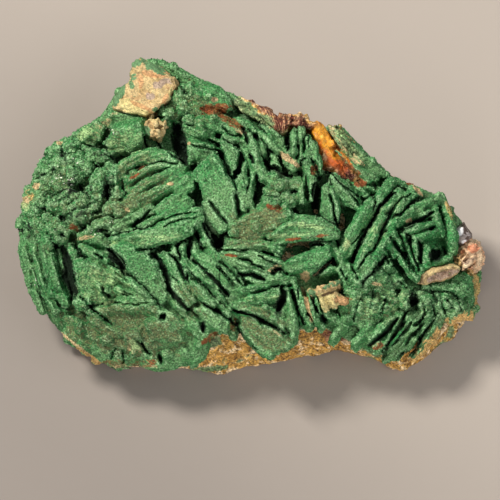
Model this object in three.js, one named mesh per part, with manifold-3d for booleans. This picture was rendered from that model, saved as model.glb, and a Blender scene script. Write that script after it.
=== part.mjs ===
// Malachite on barite: a hand specimen about 92 mm wide, lying on a flat cut underside.
// Millimetres, +Z up. The layout is drawn on the face of the specimen (x to the right, y up the face,
// z towards the viewer), and the whole face is then tipped back by FACE_TILT to lie on its base.
import * as THREE from "three";
import { mergeVertices } from "three/addons/utils/BufferGeometryUtils.js";
import Module from "manifold-3d";

// Driving dimensions
const FACE_TILT = 20; // degrees between the drawn face and the level of the base
const BASE_DROP = 25; // from the middle of the face down to the cut underside
const GAP = 0.36; // clearance where one mineral sits in a pocket of another
const DOME_TOP = -7; // depth of the matrix under the face at its middle
const DOME_SLOPE = 0.22; // fall of the matrix towards the top of the face
const DOME_CURVE = 0.004; // fall of the matrix towards its edges
const CRUST_THICK = 1.7; // green crust between the blades
const CRUST_ROOT = 2.5; // how deep the crust is rooted in the rock
const CRUST_OVERHANG = 1.3; // how far the crust stands out over the wall
const SLAB_RISE = 3; // how much thicker the crust grows at the lower left
const SLAB_MIDDLE = [-23, -25]; // middle of that thicker slab on the face
const SLAB_REACH = [12, 6.5]; // its half width and half height
const SLAB_FADE = 0.6; // how much of its rise is lost down the wall
const ROCK_ROUGHNESS = 0.5; // unevenness of the broken rock
const WALL_ROUGHNESS = 0.6; // unevenness of the wall, over that of the top
const RIM_DROP = 0.8; // how far the rim of the rock lies below its dome
const BLADE_WAVE = 0.5; // unevenness of the blade crests
const BLADE_CHANGE = 0.16; // unevenness of the blade thickness, over the thickness
const BLADE_END_DROP = 0.9; // how much lower a crest is at its ends
const BLADE_END_THIN = 0.66; // thickness at the ends, over the drawn thickness
const BLADE_ROOT = 0.9; // how far above the matrix a blade ends, inside the crust
const BLADE_LEAST = 2; // least depth of a blade
const BLADE_ROOF = [0.34, 0.42]; // height of the roofed edge on both sides, over the thickness
const BLADE_FOOT = 0.56; // half thickness at the foot, over the thickness
const TABLE_WAVE = 0.25; // unevenness of the broad faces
const LUMP_WAVE = 0.12; // unevenness of the lumps, over their radius
const BLADE_STOUT = 1.14; // thickness of the blades with their coat, over the drawn thickness
const SHORT_EDGE = 0.16; // edges shorter than this are closed up after the joins
const MOST_FACETS = 7300; // facets left in the joined blades before their pockets are cut
const FACET_TOLERANCE = 0.35; // how far thinning may move the surface of the joined blades
const EDGE_TOLERANCE = 0.025; // how far it may move the finished pieces
const BLOCK_DEPTH = 11; // thickness of the corner crystal
const AMBER_RISE = 4.2; // height of the amber glassy barite over the matrix around it
const AMBER_THICK = 5.5; // thickness of the amber barite, which grows down into the matrix
const HOLLOW_SPREAD = 1.07; // width of the hollow in the green coat over that of the amber barite
const OVER_ALL = 12; // a level above every crest, where cutting forms start
const WIDE = 80; // half width of the cutting form under the base
const DEEP = 120; // its depth
const LEAST_SLENDER = 0.03; // narrowest triangle that thinning may leave, over the square of its longest edge
const LEAST_TURN = 0.5; // cosine of the most that a facet may turn in one step of thinning
const TINY = 1e-3; // facets smaller than this may turn freely
const COAT_LIFT = 0.6; // how far the green coat ends above the level of the base
const NUMBERS_OF_PLANES = 11; // sums kept for each corner while triangles are thinned out
const MOST_PASSES = 80; // rounds of thinning

const wasm = await Module();
wasm.setup();

const tilt = THREE.MathUtils.degToRad(FACE_TILT);
const SIN = Math.sin(tilt);
const COS = Math.cos(tilt);

// A repeatable uneven value from -1 to 1 for a place on the face
function wobble(x, y, k = 0) {
  const s = Math.sin(x * 12.9898 + y * 78.233 + k * 37.719) * 43758.5453;
  return (s - Math.floor(s)) * 2 - 1;
}

// Height of the matrix surface under a point of the face
function ground(x, y) {
  return DOME_TOP - DOME_SLOPE * y - DOME_CURVE * (x * x + y * y);
}

// Height, on the drawn face, of the level plane that lies drop millimetres below the middle
function level(y, drop) {
  return (-drop - y * SIN) / COS;
}

// Closed surface from rings of equal length, capped flat at both ends
function loft(rings, caps = null) {
  const n = rings[0].length;
  const position = [];
  for (const ring of rings) {
    for (const p of ring) {
      position.push(p[0], p[1], p[2]);
    }
  }
  const index = [];
  for (let r = 0; r + 1 < rings.length; r += 1) {
    for (let i = 0; i < n; i += 1) {
      const j = (i + 1) % n;
      const a = r * n + i;
      const b = r * n + j;
      index.push(a, b, b + n, a, b + n, a + n);
    }
  }
  const last = (rings.length - 1) * n;
  const flat = caps ?? fan(n);
  for (const [a, b, c] of flat) {
    index.push(a, c, b);
    index.push(last + a, last + b, last + c);
  }
  return outward(position, index);
}

// Triangles of a convex cap
function fan(n) {
  const out = [];
  for (let i = 1; i + 1 < n; i += 1) {
    out.push([0, i, i + 1]);
  }
  return out;
}

// Triangles of the cap of any outline, all turned the way the outline runs
function capOf(outline) {
  const corners = outline.map(([x, y]) => new THREE.Vector2(x, y));
  const turn = Math.sign(THREE.ShapeUtils.area(corners));
  return THREE.ShapeUtils.triangulateShape(corners, []).map(([a, b, c]) => {
    const same = Math.sign(THREE.ShapeUtils.area([corners[a], corners[b], corners[c]])) === turn;
    return same ? [a, b, c] : [a, c, b];
  });
}

// Geometry with its faces turned outwards
function outward(position, index) {
  let volume = 0;
  const a = new THREE.Vector3();
  const b = new THREE.Vector3();
  const c = new THREE.Vector3();
  for (let i = 0; i < index.length; i += 3) {
    a.fromArray(position, index[i] * 3);
    b.fromArray(position, index[i + 1] * 3);
    c.fromArray(position, index[i + 2] * 3);
    volume += a.dot(b.cross(c));
  }
  const turned = volume < 0 ? index.slice().reverse() : index;
  const geometry = new THREE.BufferGeometry();
  geometry.setAttribute("position", new THREE.Float32BufferAttribute(position, 3));
  geometry.setIndex(turned);
  return geometry;
}

// Bare copy with shared vertices, moved out along its normals by grow
function bare(geometry, grow = 0) {
  let plain = new THREE.BufferGeometry();
  plain.setAttribute("position", geometry.getAttribute("position").clone());
  plain.setIndex(geometry.getIndex());
  plain = mergeVertices(plain, 1e-4);
  if (grow > 0) {
    plain.computeVertexNormals();
    const p = plain.getAttribute("position");
    const q = plain.getAttribute("normal");
    for (let i = 0; i < p.count; i += 1) {
      p.setXYZ(i, p.getX(i) + q.getX(i) * grow, p.getY(i) + q.getY(i) * grow, p.getZ(i) + q.getZ(i) * grow);
    }
    plain.deleteAttribute("normal");
  }
  return plain;
}

// Closed solid of a geometry, grown by grow
function solid(geometry, grow = 0) {
  const plain = bare(geometry, grow);
  const mesh = new wasm.Mesh({
    numProp: 3,
    vertProperties: new Float32Array(plain.getAttribute("position").array),
    triVerts: new Uint32Array(plain.getIndex().array),
  });
  return new wasm.Manifold(mesh);
}

// One solid from many, joined in pairs
function join(list) {
  let round = list.slice();
  while (round.length > 1) {
    const next = [];
    for (let i = 0; i < round.length; i += 2) {
      next.push(i + 1 < round.length ? round[i].add(round[i + 1]) : round[i]);
    }
    round = next;
  }
  return round[0];
}

// Thin blade: a crest line with a roofed edge, standing in the crust and leaning as it goes down
// crest is a list of points on the face, width its thickness, height its rise over the matrix,
// lean the sideways shift per millimetre of depth
function blade(crest, width, height, lean = [0, 0], depth = 0) {
  const n = crest.length;
  const rise = Array.isArray(height) ? height : [height, height];
  const rings = [];
  for (let i = 0; i < n; i += 1) {
    const t = i / (n - 1);
    const [x, y] = crest[i];
    const before = crest[Math.max(i - 1, 0)];
    const after = crest[Math.min(i + 1, n - 1)];
    const along = new THREE.Vector3(after[0] - before[0], after[1] - before[1], 0).normalize();
    const down = new THREE.Vector3(lean[0], lean[1], -1).normalize();
    const side = new THREE.Vector3().crossVectors(along, down).normalize();
    const end = i === 0 || i === n - 1;
    const h = rise[0] + (rise[1] - rise[0]) * t;
    const drop = end ? BLADE_END_DROP : 0;
    const top = new THREE.Vector3(x, y, ground(x, y) + h + BLADE_WAVE * wobble(x, y) - drop);
    const w = BLADE_STOUT * width * (end ? BLADE_END_THIN : 1 + BLADE_CHANGE * wobble(x, y, 3));
    const deep = depth > 0 ? depth : Math.max(h - BLADE_ROOT, BLADE_LEAST);
    const place = (s, d) =>
      top.clone().addScaledVector(side, s * w).addScaledVector(down, d).toArray();
    rings.push([
      place(0.06 * wobble(x, y, 5), 0),
      place(0.5, BLADE_ROOF[0] * w),
      place(BLADE_FOOT, deep),
      place(-BLADE_FOOT, deep),
      place(-0.5, BLADE_ROOF[1] * w),
    ]);
  }
  return loft(rings);
}

// Tabular crystal showing a broad face: an outline on the face, height over the matrix at its middle,
// slope the rise of the face per millimetre in x and y, and thickness behind the face
function table(outline, height, slope = [0, 0], thick = 2.4, inset = 0.35) {
  const n = outline.length;
  const cx = outline.reduce((s, p) => s + p[0], 0) / n;
  const cy = outline.reduce((s, p) => s + p[1], 0) / n;
  const cz = ground(cx, cy) + height;
  const normal = new THREE.Vector3(-slope[0], -slope[1], 1).normalize();
  const ring = (shrink, drop, k) =>
    outline.map(([x, y]) => {
      const r = Math.hypot(x - cx, y - cy) || 1;
      const f = 1 - shrink / r;
      const px = cx + (x - cx) * f;
      const py = cy + (y - cy) * f;
      const pz = cz + slope[0] * (px - cx) + slope[1] * (py - cy) + TABLE_WAVE * wobble(x, y, k);
      return [px - normal.x * drop, py - normal.y * drop, pz - normal.z * drop];
    });
  return loft([ring(inset + 0.25, 0, 1), ring(0, inset + 0.2, 1), ring(0.1, thick, 2)], capOf(outline));
}

// Rounded lump with a few flat facets
function lump(x, y, height, size, detail = 0) {
  const s = Array.isArray(size) ? size : [size, size, size];
  const geometry = bare(new THREE.IcosahedronGeometry(1, detail));
  const p = geometry.getAttribute("position");
  for (let i = 0; i < p.count; i += 1) {
    const f = 1 + LUMP_WAVE * wobble(p.getX(i) * 3 + x, p.getY(i) * 3 + y, p.getZ(i));
    p.setXYZ(
      i,
      x + p.getX(i) * s[0] * f,
      y + p.getY(i) * s[1] * f,
      ground(x, y) + height + p.getZ(i) * s[2] * f,
    );
  }
  return geometry;
}

// Edge of the specimen, clockwise from the left: rim of the top (x, y), foot of the wall (x, y),
// and how far the green crust reaches down the wall, from 0 to 1
const EDGE = [
  [-44.3, -3, -39, -7, 0.7],
  [-43.2, 2, -38, -2, 0.7],
  [-41.3, 7, -36, 3, 0.7],
  [-38.3, 12, -33, 7, 0.6],
  [-33.5, 16, -29, 10.5, 0.6],
  [-28.5, 19, -25, 13.5, 0.5],
  [-24.5, 24, -21.5, 16, 0.4],
  [-20, 26.5, -17, 17.5, 0.4],
  [-14, 26, -12, 17.5, 0.5],
  [-8.5, 24, -7, 16.5, 0.5],
  [-3.5, 22.6, -2.5, 15.5, 0.3],
  [2, 21, 2, 14.5, 0.1],
  [7, 18.6, 7, 13, 0.1],
  [12.5, 18.4, 12, 12, 0.1],
  [17, 16.4, 16.5, 10, 0.3],
  [21.5, 11.8, 21, 6.5, 0.5],
  [27, 7.4, 26, 2.5, 0.5],
  [32.5, 5, 31, -0.5, 0.4],
  [37.5, 3, 35.5, -3, 0.3],
  [40.3, -1, 38, -6.5, 0.2],
  [43.2, -5, 40.5, -10, 0.1],
  [44.2, -10, 42, -14.5, 0.2],
  [43.6, -14.5, 42.3, -18.5, 0.5],
  [42, -19, 41, -22.6, 0.2],
  [38, -22.6, 38, -26, 0.1],
  [33.5, -25, 34.3, -29.2, 0.1],
  [28.5, -26.5, 30.2, -31.4, 0.1],
  [22, -25, 24, -28.6, 0.2],
  [15.5, -23, 16, -27, 0.1],
  [10, -23, 10.2, -28.6, 0.05],
  [5, -24, 5, -29.9, 0.05],
  [0, -24, -0.3, -30, 0.1],
  [-5.5, -23, -6, -31.7, 0.12],
  [-11.5, -24, -12, -30.9, 0.75],
  [-18, -25.5, -18, -30.3, 0.85],
  [-25, -25.5, -25, -30.6, 0.85],
  [-32, -23.3, -31, -28.2, 0.85],
  [-38, -19, -35, -23.8, 0.8],
  [-42, -13.5, -38, -18, 0.8],
  [-44, -8.5, -39.5, -12.5, 0.75],
];
const MIDDLE = [0, -3];
const LEAST_WRAP = 0.15; // where the coat reaches down less than this, the wall stays bare
const WALL_BELLY = 0.9; // how far the wall swells between its rim and its foot
const TOP_RINGS = [0.33, 0.66, 0.9]; // rings of the top, over the way from its middle to the rim
const WALL_RINGS = [0, 0.34, 0.7, 1]; // rings of the wall, over the way from the rim to the foot

// Extra thickness of the crust: the broad slab at the lower left
function swell(x, y) {
  const u = (x - SLAB_MIDDLE[0]) / SLAB_REACH[0];
  const v = (y - SLAB_MIDDLE[1]) / SLAB_REACH[1];
  return SLAB_RISE * Math.exp(-(u ** 2) - v ** 2);
}

// Rings of the rock from the middle of its top out to the rim and down the wall
function rockRings(raise, out, reach, k) {
  const rings = [];
  for (const f of TOP_RINGS) {
    rings.push(
      EDGE.map(([x, y]) => {
        const px = MIDDLE[0] + (x - MIDDLE[0]) * f;
        const py = MIDDLE[1] + (y - MIDDLE[1]) * f;
        const more = raise > 0 ? swell(px, py) : 0;
        return [px, py, ground(px, py) + raise + more + ROCK_ROUGHNESS * wobble(px, py, k)];
      }),
    );
  }
  for (const f of WALL_RINGS) {
    rings.push(
      EDGE.map(([x, y, fx, fy, wrap]) => {
        const g = f * (reach === null ? 1 : wrap * reach);
        const px = x + (fx - x) * g;
        const py = y + (fy - y) * g;
        const more = raise > 0 ? swell(x, y) * (1 - SLAB_FADE * f) : 0;
        const top = ground(x, y) + raise * (1 - f) - RIM_DROP + more;
        const pz = top + (level(fy, BASE_DROP) - top) * g;
        const r = Math.hypot(px, py);
        const uncoated = raise > 0 && wrap < LEAST_WRAP;
        const belly = f > 0 && f < 1 && !uncoated ? WALL_BELLY : 0;
        const rough = WALL_ROUGHNESS * ROCK_ROUGHNESS;
        const bulge = (uncoated ? -WALL_BELLY : out) + belly + rough * wobble(px, py, k + 1);
        const qx = px + (px / r) * bulge;
        const qy = py + (py / r) * bulge;
        const flat = reach === null && f === 1;
        return [qx, qy, flat ? level(qy, BASE_DROP) : pz + rough * wobble(py, px, k)];
      }),
    );
  }
  return rings;
}

// Broken rock under the blades, from its dome down to the cut underside
function rock() {
  return loft(rockRings(0, 0, null, 7));
}

// Crust of malachite over the rock: the same rings raised, closed inside the rock
function crust() {
  const outer = rockRings(CRUST_THICK, CRUST_OVERHANG, 1, 11);
  const inner = rockRings(-CRUST_ROOT, -CRUST_ROOT, 1, 11);
  return loft([...outer, ...inner.reverse()]);
}

// Amber glassy barite beside the rusty rim: a long tapering body that stands up from the matrix
const AMBER = [
  [12.3, 18.6],
  [13.6, 18.7],
  [15.2, 17.1],
  [16.8, 15.6],
  [17.3, 14.2],
  [17.1, 12.6],
  [18, 11],
  [19.4, 9.2],
  [21, 7.2],
  [20.6, 6.3],
  [18.4, 7],
  [15.7, 9.1],
  [14.2, 10.9],
  [13.6, 13.2],
  [12.6, 15.6],
];
const AMBER_MIDDLE = [15.8, 12.6];
const AMBER_SLOPE = [-0.05, -0.12]; // rise of its face per millimetre in x and y

// The amber body itself
function amber() {
  return table(AMBER, AMBER_RISE, AMBER_SLOPE, AMBER_THICK, 0.5);
}

// Hollow in the green coat over the amber barite
function hollowOver() {
  const ring = (z) =>
    AMBER.map(([x, y]) => {
      const px = AMBER_MIDDLE[0] + (x - AMBER_MIDDLE[0]) * HOLLOW_SPREAD;
      const py = AMBER_MIDDLE[1] + (y - AMBER_MIDDLE[1]) * HOLLOW_SPREAD;
      return [px, py, z ?? ground(px, py)];
    });
  return loft([ring(OVER_ALL), ring()], capOf(AMBER));
}

// Bare places where the rusty rock shows through the crust: the top rim and the lower right edge
const BARE_PLACES = [
  [[-1.4, 27], [-0.6, 21.6], [3, 19.5], [6, 16.2], [8, 15.8], [9.4, 18], [12, 17], [16.6, 21]],
  [[37.4, -24], [38.6, -20.8], [41, -20.6], [43, -21.6], [46, -26], [38, -32], [34.6, -28.4]],
];

// Cutting forms for them
function bareRim() {
  return BARE_PLACES.map((outline) =>
    loft([outline.map(([x, y]) => [x, y, OVER_ALL]), outline.map(([x, y]) => [x, y - 1, -DEEP])]),
  );
}

// Corner crystal: a thick broken barite block with a pale broken face
function cornerBlock() {
  return table(
    [
      [-22, 31.3],
      [-23.1, 30],
      [-24, 27.5],
      [-25.4, 25],
      [-26.8, 23],
      [-27.1, 21],
      [-23.8, 20.2],
      [-20.4, 19.6],
      [-18, 21.1],
      [-16.4, 22.2],
      [-15, 24.2],
      [-14.4, 26],
      [-15.2, 27.3],
      [-18, 28.6],
      [-20, 30.2],
    ],
    9.2,
    [0.1, -0.12],
    BLOCK_DEPTH,
    0.5,
  );
}

// Small broken barite tip beside the block
function brokenTip() {
  return table(
    [
      [-20.7, 17.6],
      [-19.6, 19],
      [-18.4, 19.2],
      [-17.2, 18.4],
      [-16.6, 16.6],
      [-17.6, 15.6],
      [-19.4, 16],
    ],
    7.8,
    [-0.1, -0.3],
    4.4,
  );
}

// Tan broken blade across the ledge at the right
function tanBlade() {
  return table(
    [
      [33.2, -13.9],
      [34.4, -12],
      [36.2, -11],
      [38.2, -10.8],
      [40, -10.3],
      [41.9, -11],
      [41.2, -12.1],
      [39.5, -13],
      [37, -13.7],
      [35, -14.3],
    ],
    6.6,
    [-0.05, 0.25],
    3.6,
  );
}

// Broken pale blades in the cluster at the lower right of the middle
function palePieces() {
  return [
    table(
      [[13.3, -15.1], [16, -14.8], [17.4, -16.2], [17, -17.8], [15.5, -18.8], [14, -17.6], [13, -16.2]],
      6, [0.1, 0.2], 4.5,
    ),
    blade([[11.9, -15.4], [14, -14.7], [16, -14], [17.9, -13.3]], 1.3, 7.2, [0.1, -0.3]),
    table([[16.2, -16], [18, -15.9], [19.4, -17.2], [17.6, -18], [16.4, -17.6]], 5.6, [-0.1, 0.1], 3.6),
  ];
}

// Pink and tan barite knob at the right edge
const KNOB_SPOT = [43.7, -8.4];
const KNOB_HEIGHT = -0.6; // its middle over the matrix
const KNOB_RADII = [3.1, 3.9, 5.4];

// The knob, rounded with flat facets
function knob() {
  return lump(KNOB_SPOT[0], KNOB_SPOT[1], KNOB_HEIGHT, KNOB_RADII, 1);
}

// Dark metallic cube-like grain above the knob
const GRAIN_SPOT = [42.3, -3.9];
const GRAIN_HEIGHT = 1.4; // its middle over the matrix
const GRAIN_SIDES = [3, 2.7, 4.6];
const GRAIN_TURN = 0.62; // radians about the way to the viewer
const GRAIN_TIP = 0.2; // radians about x

// The grain, a tipped block
function grain() {
  const box = new THREE.BoxGeometry(...GRAIN_SIDES);
  box.rotateZ(GRAIN_TURN);
  box.rotateX(GRAIN_TIP);
  box.translate(GRAIN_SPOT[0], GRAIN_SPOT[1], ground(...GRAIN_SPOT) + GRAIN_HEIGHT);
  return box;
}

// Rust-stained barite plates that stand up from the matrix along the top rim and the bottom left
function rimPlates() {
  return [
    blade([[-3.2, 22.4], [0, 22.2], [2.6, 21.1], [4.8, 19.3], [7.2, 17.4]], 1.5, [5.5, 7], [0.2, -0.4]),
    blade([[0.4, 20.6], [3, 19.4], [5, 17.8], [6.7, 16.4]], 1.1, 6.2, [0.2, -0.3]),
    blade([[6.2, 18.7], [9, 18.9], [12, 18.6], [13.6, 17.6]], 1.4, [5.5, 7], [0, -0.3]),
    table(
      [
        [-28.8, -29.4], [-25.6, -28.2], [-22.5, -28], [-18.6, -28.2], [-18.2, -30.2], [-22, -30.9],
        [-26, -30.6],
      ],
      -5.5, [0, 1.1], 3.4,
    ),
  ];
}

const blades = {};

// Upper left: terraces, arched plates and small nodules
blades.terraces = [
  table(
    [[-27.5, 16.6], [-22, 18], [-20.9, 16], [-21.6, 13], [-24, 11.7], [-27.3, 11], [-28.2, 12.4]],
    6.6, [0.12, 0.42], 4.6,
  ),
  table(
    [[-28.4, 20.2], [-24, 20.3], [-20.6, 19.4], [-20.4, 18.4], [-22, 17.6], [-27.2, 17.8]],
    6, [0, 0.2], 4.6,
  ),
  table([[-20.9, 15.8], [-18.6, 14.2], [-18, 12.6], [-20.4, 12.4]], 7, [0.2, 0.3], 4),
  blade(
    [[-27, 3.6], [-27, 7], [-25.3, 10], [-22.6, 11.7], [-19.5, 12.4], [-16, 11.7], [-13.3, 10]],
    1.7, 8.2, [0.25, -0.5],
  ),
  blade([[-24.6, 5], [-23.4, 8], [-20.4, 9.6], [-17, 10.6], [-14, 9.9]], 1.4, 7.8, [0.2, -0.5]),
  blade([[-24.2, 3.5], [-22, 6], [-19, 7.4], [-15.5, 8.5], [-12.2, 9.4]], 1.5, 7.6, [0.1, -0.55]),
  blade([[-22.8, 2.2], [-20, 4.2], [-17, 5.6], [-14, 6.4], [-11.4, 6.6]], 1.4, 7.2, [0.1, -0.5]),
  table(
    [[-15.2, 8], [-12.2, 7.6], [-10.9, 6.6], [-10.8, 5.2], [-11.6, 4.1], [-15, 4.6], [-17, 5.4]],
    7.4, [0.1, 0.35], 3.4,
  ),
  blade([[-28.2, 1.2], [-25.6, 2], [-22.6, 3.2], [-19.8, 5]], 2.3, 7, [0.1, -0.5]),
  blade([[-18.8, 0.6], [-17, 1.7], [-15, 3.4], [-12.6, 4.4]], 1.6, 7.4, [0.15, -0.45]),
  blade([[-22, -2.4], [-19, -0.9], [-16, 0.6], [-12, 3.4]], 1.3, 7.4, [0.15, -0.45]),
  blade([[-19.6, -3], [-17, -1], [-13.4, 1], [-11.1, 2.5]], 1.3, 7.2, [0.15, -0.4]),
  blade([[-27, -1.8], [-24, -0.6], [-21.4, 0.6], [-19, 2.2]], 1.6, 6.6, [0.1, -0.4]),
  blade([[-31.4, -2.6], [-28.6, -2.2], [-25.4, -2.6], [-22.4, -3.2]], 1.5, 6.4, [0, -0.4]),
  blade([[-30, 2.6], [-30.7, 5.6], [-29.6, 8.6], [-27.6, 8.4]], 1.6, 7.4, [0.1, -0.2]),
  blade([[-39, 1.6], [-37, 2.8], [-34.4, 4.2]], 1.1, 6.2, [0.1, -0.4]),
  blade([[-37.6, 0.2], [-34.8, 2], [-32, 3.6]], 1, 6.4, [0.1, -0.4]),
  blade([[-36.4, -1.8], [-34, -0.2], [-31.6, 1.4]], 1.3, 6.6, [0.1, -0.4]),
  blade([[-38.7, 5.2], [-37.4, 7.2], [-35.4, 8.6], [-32.6, 8.8]], 1.9, 5.8, [0.2, -0.35]),
  blade([[-41.6, 2.2], [-41.2, 5], [-39.8, 7.6], [-37.6, 10]], 2, [4.6, 5.6], [0.3, -0.2]),
  blade([[-38.4, 9.8], [-36.8, 11.4], [-34.2, 11.6], [-31.6, 10.8]], 1.7, 5.6, [0.1, -0.4]),
  table(
    [[-40.2, 11.6], [-38.4, 13.8], [-36, 14], [-34.4, 13.2], [-36.2, 11.4], [-38.6, 9.8]],
    4.2, [0.25, -0.2], 3.6,
  ),
  table(
    [[-34.2, 14.6], [-33.2, 17.2], [-30.6, 18.6], [-28.8, 17.4], [-29.4, 14.4], [-31.8, 13.2]],
    5, [0.15, 0], 4.2,
  ),
  blade([[-32.6, 14], [-30.2, 12.2], [-27.2, 10.4]], 1.3, 6.4, [0, -0.3]),
  table([[-45, 2.4], [-43.7, 4.8], [-42.4, 6], [-40.6, 4], [-40.6, 0.4], [-43.6, -0.6]], 3, [0.3, 0], 4.2),
  lump(-35, 13.1, 4.8, 1.25),
  lump(-31.2, 12.1, 5.2, 1.15),
  lump(-34.4, 11.1, 5, 1.1),
  lump(-29, 11, 5.8, 1.1),
  lump(-33, 9.4, 5.6, 1.3),
  lump(-40.4, 9.4, 3.6, 1.5),
  lump(-42.6, 1.4, 4, 1.6),
];

// Left edge: long nested blades with a deep dark gap behind them
blades.leftRim = [
  blade([[-44.9, -3], [-45.2, -7], [-44.5, -11], [-43.3, -15], [-41.2, -19.6]], 1.5, 3.4, [0.35, 0]),
  blade([[-42.9, -4.6], [-42.8, -8.4], [-42, -12], [-40.6, -15.8], [-38.2, -19.4]], 1.3, 5, [0.3, 0]),
  blade([[-41.8, -3.2], [-40.9, -7.4], [-40, -11.2], [-38.9, -14.8], [-36.9, -17.8]], 1.4, 5.6, [0.25, 0]),
  blade([[-39.6, -8], [-38.6, -11.6], [-37.8, -14.6], [-35.9, -18]], 1, 5.8, [0.2, 0]),
  blade([[-44.2, 0.2], [-43, -1.6], [-40.6, -2.6], [-38, -2.8]], 1.8, 4.6, [0.1, -0.4]),
  blade([[-40.4, -1], [-38, -2.6], [-36.6, -5]], 1.6, 6, [0.1, -0.3]),
  lump(-40.6, -20.2, 4, 1.7),
];

// Left of the middle: round plate, lance-shaped face and their neighbours
blades.shells = [
  table(
    [
      [-34.2, -9.7], [-32, -9.4], [-29.6, -10.2], [-27.6, -11.6], [-26.9, -13.6], [-25.6, -15.6],
      [-27.6, -18], [-30.4, -18.1], [-33, -16.4], [-34.6, -13.6], [-34.9, -11.4],
    ],
    6.8,
    [-0.18, 0.3],
    2.6,
    0.5,
  ),
  blade([[-33.4, -11.6], [-31.4, -12.2], [-29.6, -14], [-28.8, -16.6]], 1, 8.1, [0.2, -0.3]),
  table(
    [[-34.9, -16.3], [-33.3, -15.6], [-31.5, -17.5], [-32.4, -19.1], [-34, -19], [-35, -17.7]],
    6, [0, 0.2], 3,
  ),
  blade([[-35.7, -5.8], [-35.2, -7.6], [-34.6, -9.4]], 1.4, 6.4, [0.1, 0]),
  blade([[-33.8, -6.2], [-31, -7.6], [-28, -9.4]], 1.5, 7.2, [0.1, -0.4]),
  blade([[-34, -4.4], [-31.8, -4], [-29.6, -4.6], [-27.6, -6]], 1.5, 6.8, [0, -0.4]),
  table(
    [
      [-27.6, -6.4], [-24.4, -10.6], [-21.4, -14], [-19, -16.5], [-17, -18.3], [-16.4, -17],
      [-16.8, -14], [-17, -11.8], [-18.4, -9.9], [-21, -7.2], [-24.4, -6.2],
    ],
    7.2,
    [0.12, 0.36],
    2.6,
    0.4,
  ),
  blade([[-25.8, -12.2], [-23.4, -13.1], [-21.2, -15], [-19.8, -16.4]], 1.1, 7.4, [-0.1, -0.4]),
  blade([[-26.6, -14.4], [-24, -15.4], [-21.4, -16.4], [-18.6, -17.4]], 1.3, 6.6, [-0.1, -0.5]),
  blade([[-27.8, -9.8], [-26.2, -11.6], [-24.8, -12.8]], 1.4, 7.2, [-0.1, -0.4]),
];

// Lower left: broad stepped slab that runs down over the edge
blades.slab = [
  blade([[-31.4, -18.9], [-28, -18.2], [-24.4, -17.4], [-20.6, -17.6], [-17, -19]], 1.6, 5.4, [0, -0.7]),
  blade(
    [[-32.2, -19.8], [-30.2, -20.9], [-28.2, -22.2], [-25.6, -23.2], [-22.4, -22.8]],
    1.4, 5, [0, -0.8],
  ),
  blade([[-37, -20], [-34.4, -20.8], [-32, -22.4], [-30, -24.6]], 1.4, 4.4, [0, -0.7]),
  table(
    [[-25, -24.2], [-22, -23.7], [-20.6, -25.4], [-21.4, -28], [-24.6, -27.6]],
    4.6, [0.1, 0.75], 3, 0.3,
  ),
  table(
    [[-20.6, -22], [-17, -21], [-13.6, -22.4], [-12.6, -25.4], [-16.4, -26.2], [-20, -25.2]],
    5, [0, 0.5], 3, 0.4,
  ),
  blade([[-17.6, -18.8], [-15, -20.4], [-12.6, -22.2]], 1.5, 5.6, [0, -0.4]),
  blade([[-14.6, -25.2], [-12.4, -27], [-10.6, -29.6]], 1.6, [4, 1.6], [-0.1, -0.4]),
  blade([[-20, -26.6], [-17.8, -28], [-15.2, -29.4]], 1.6, [4, 1], [-0.1, -0.4]),
  blade([[-29.6, -25.6], [-27.6, -27.6], [-25.8, -29.4]], 1.5, [4, 1.4], [-0.1, -0.4]),
  blade([[-35, -23], [-33, -24.8], [-31.4, -27]], 1.5, [4, 1.4], [-0.1, -0.4]),
  lump(-28, -24.6, 4, 1.7),
  lump(-16.4, -27.6, 2, 1.6),
  lump(-33.4, -22.6, 3.6, 1.5),
];

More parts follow.
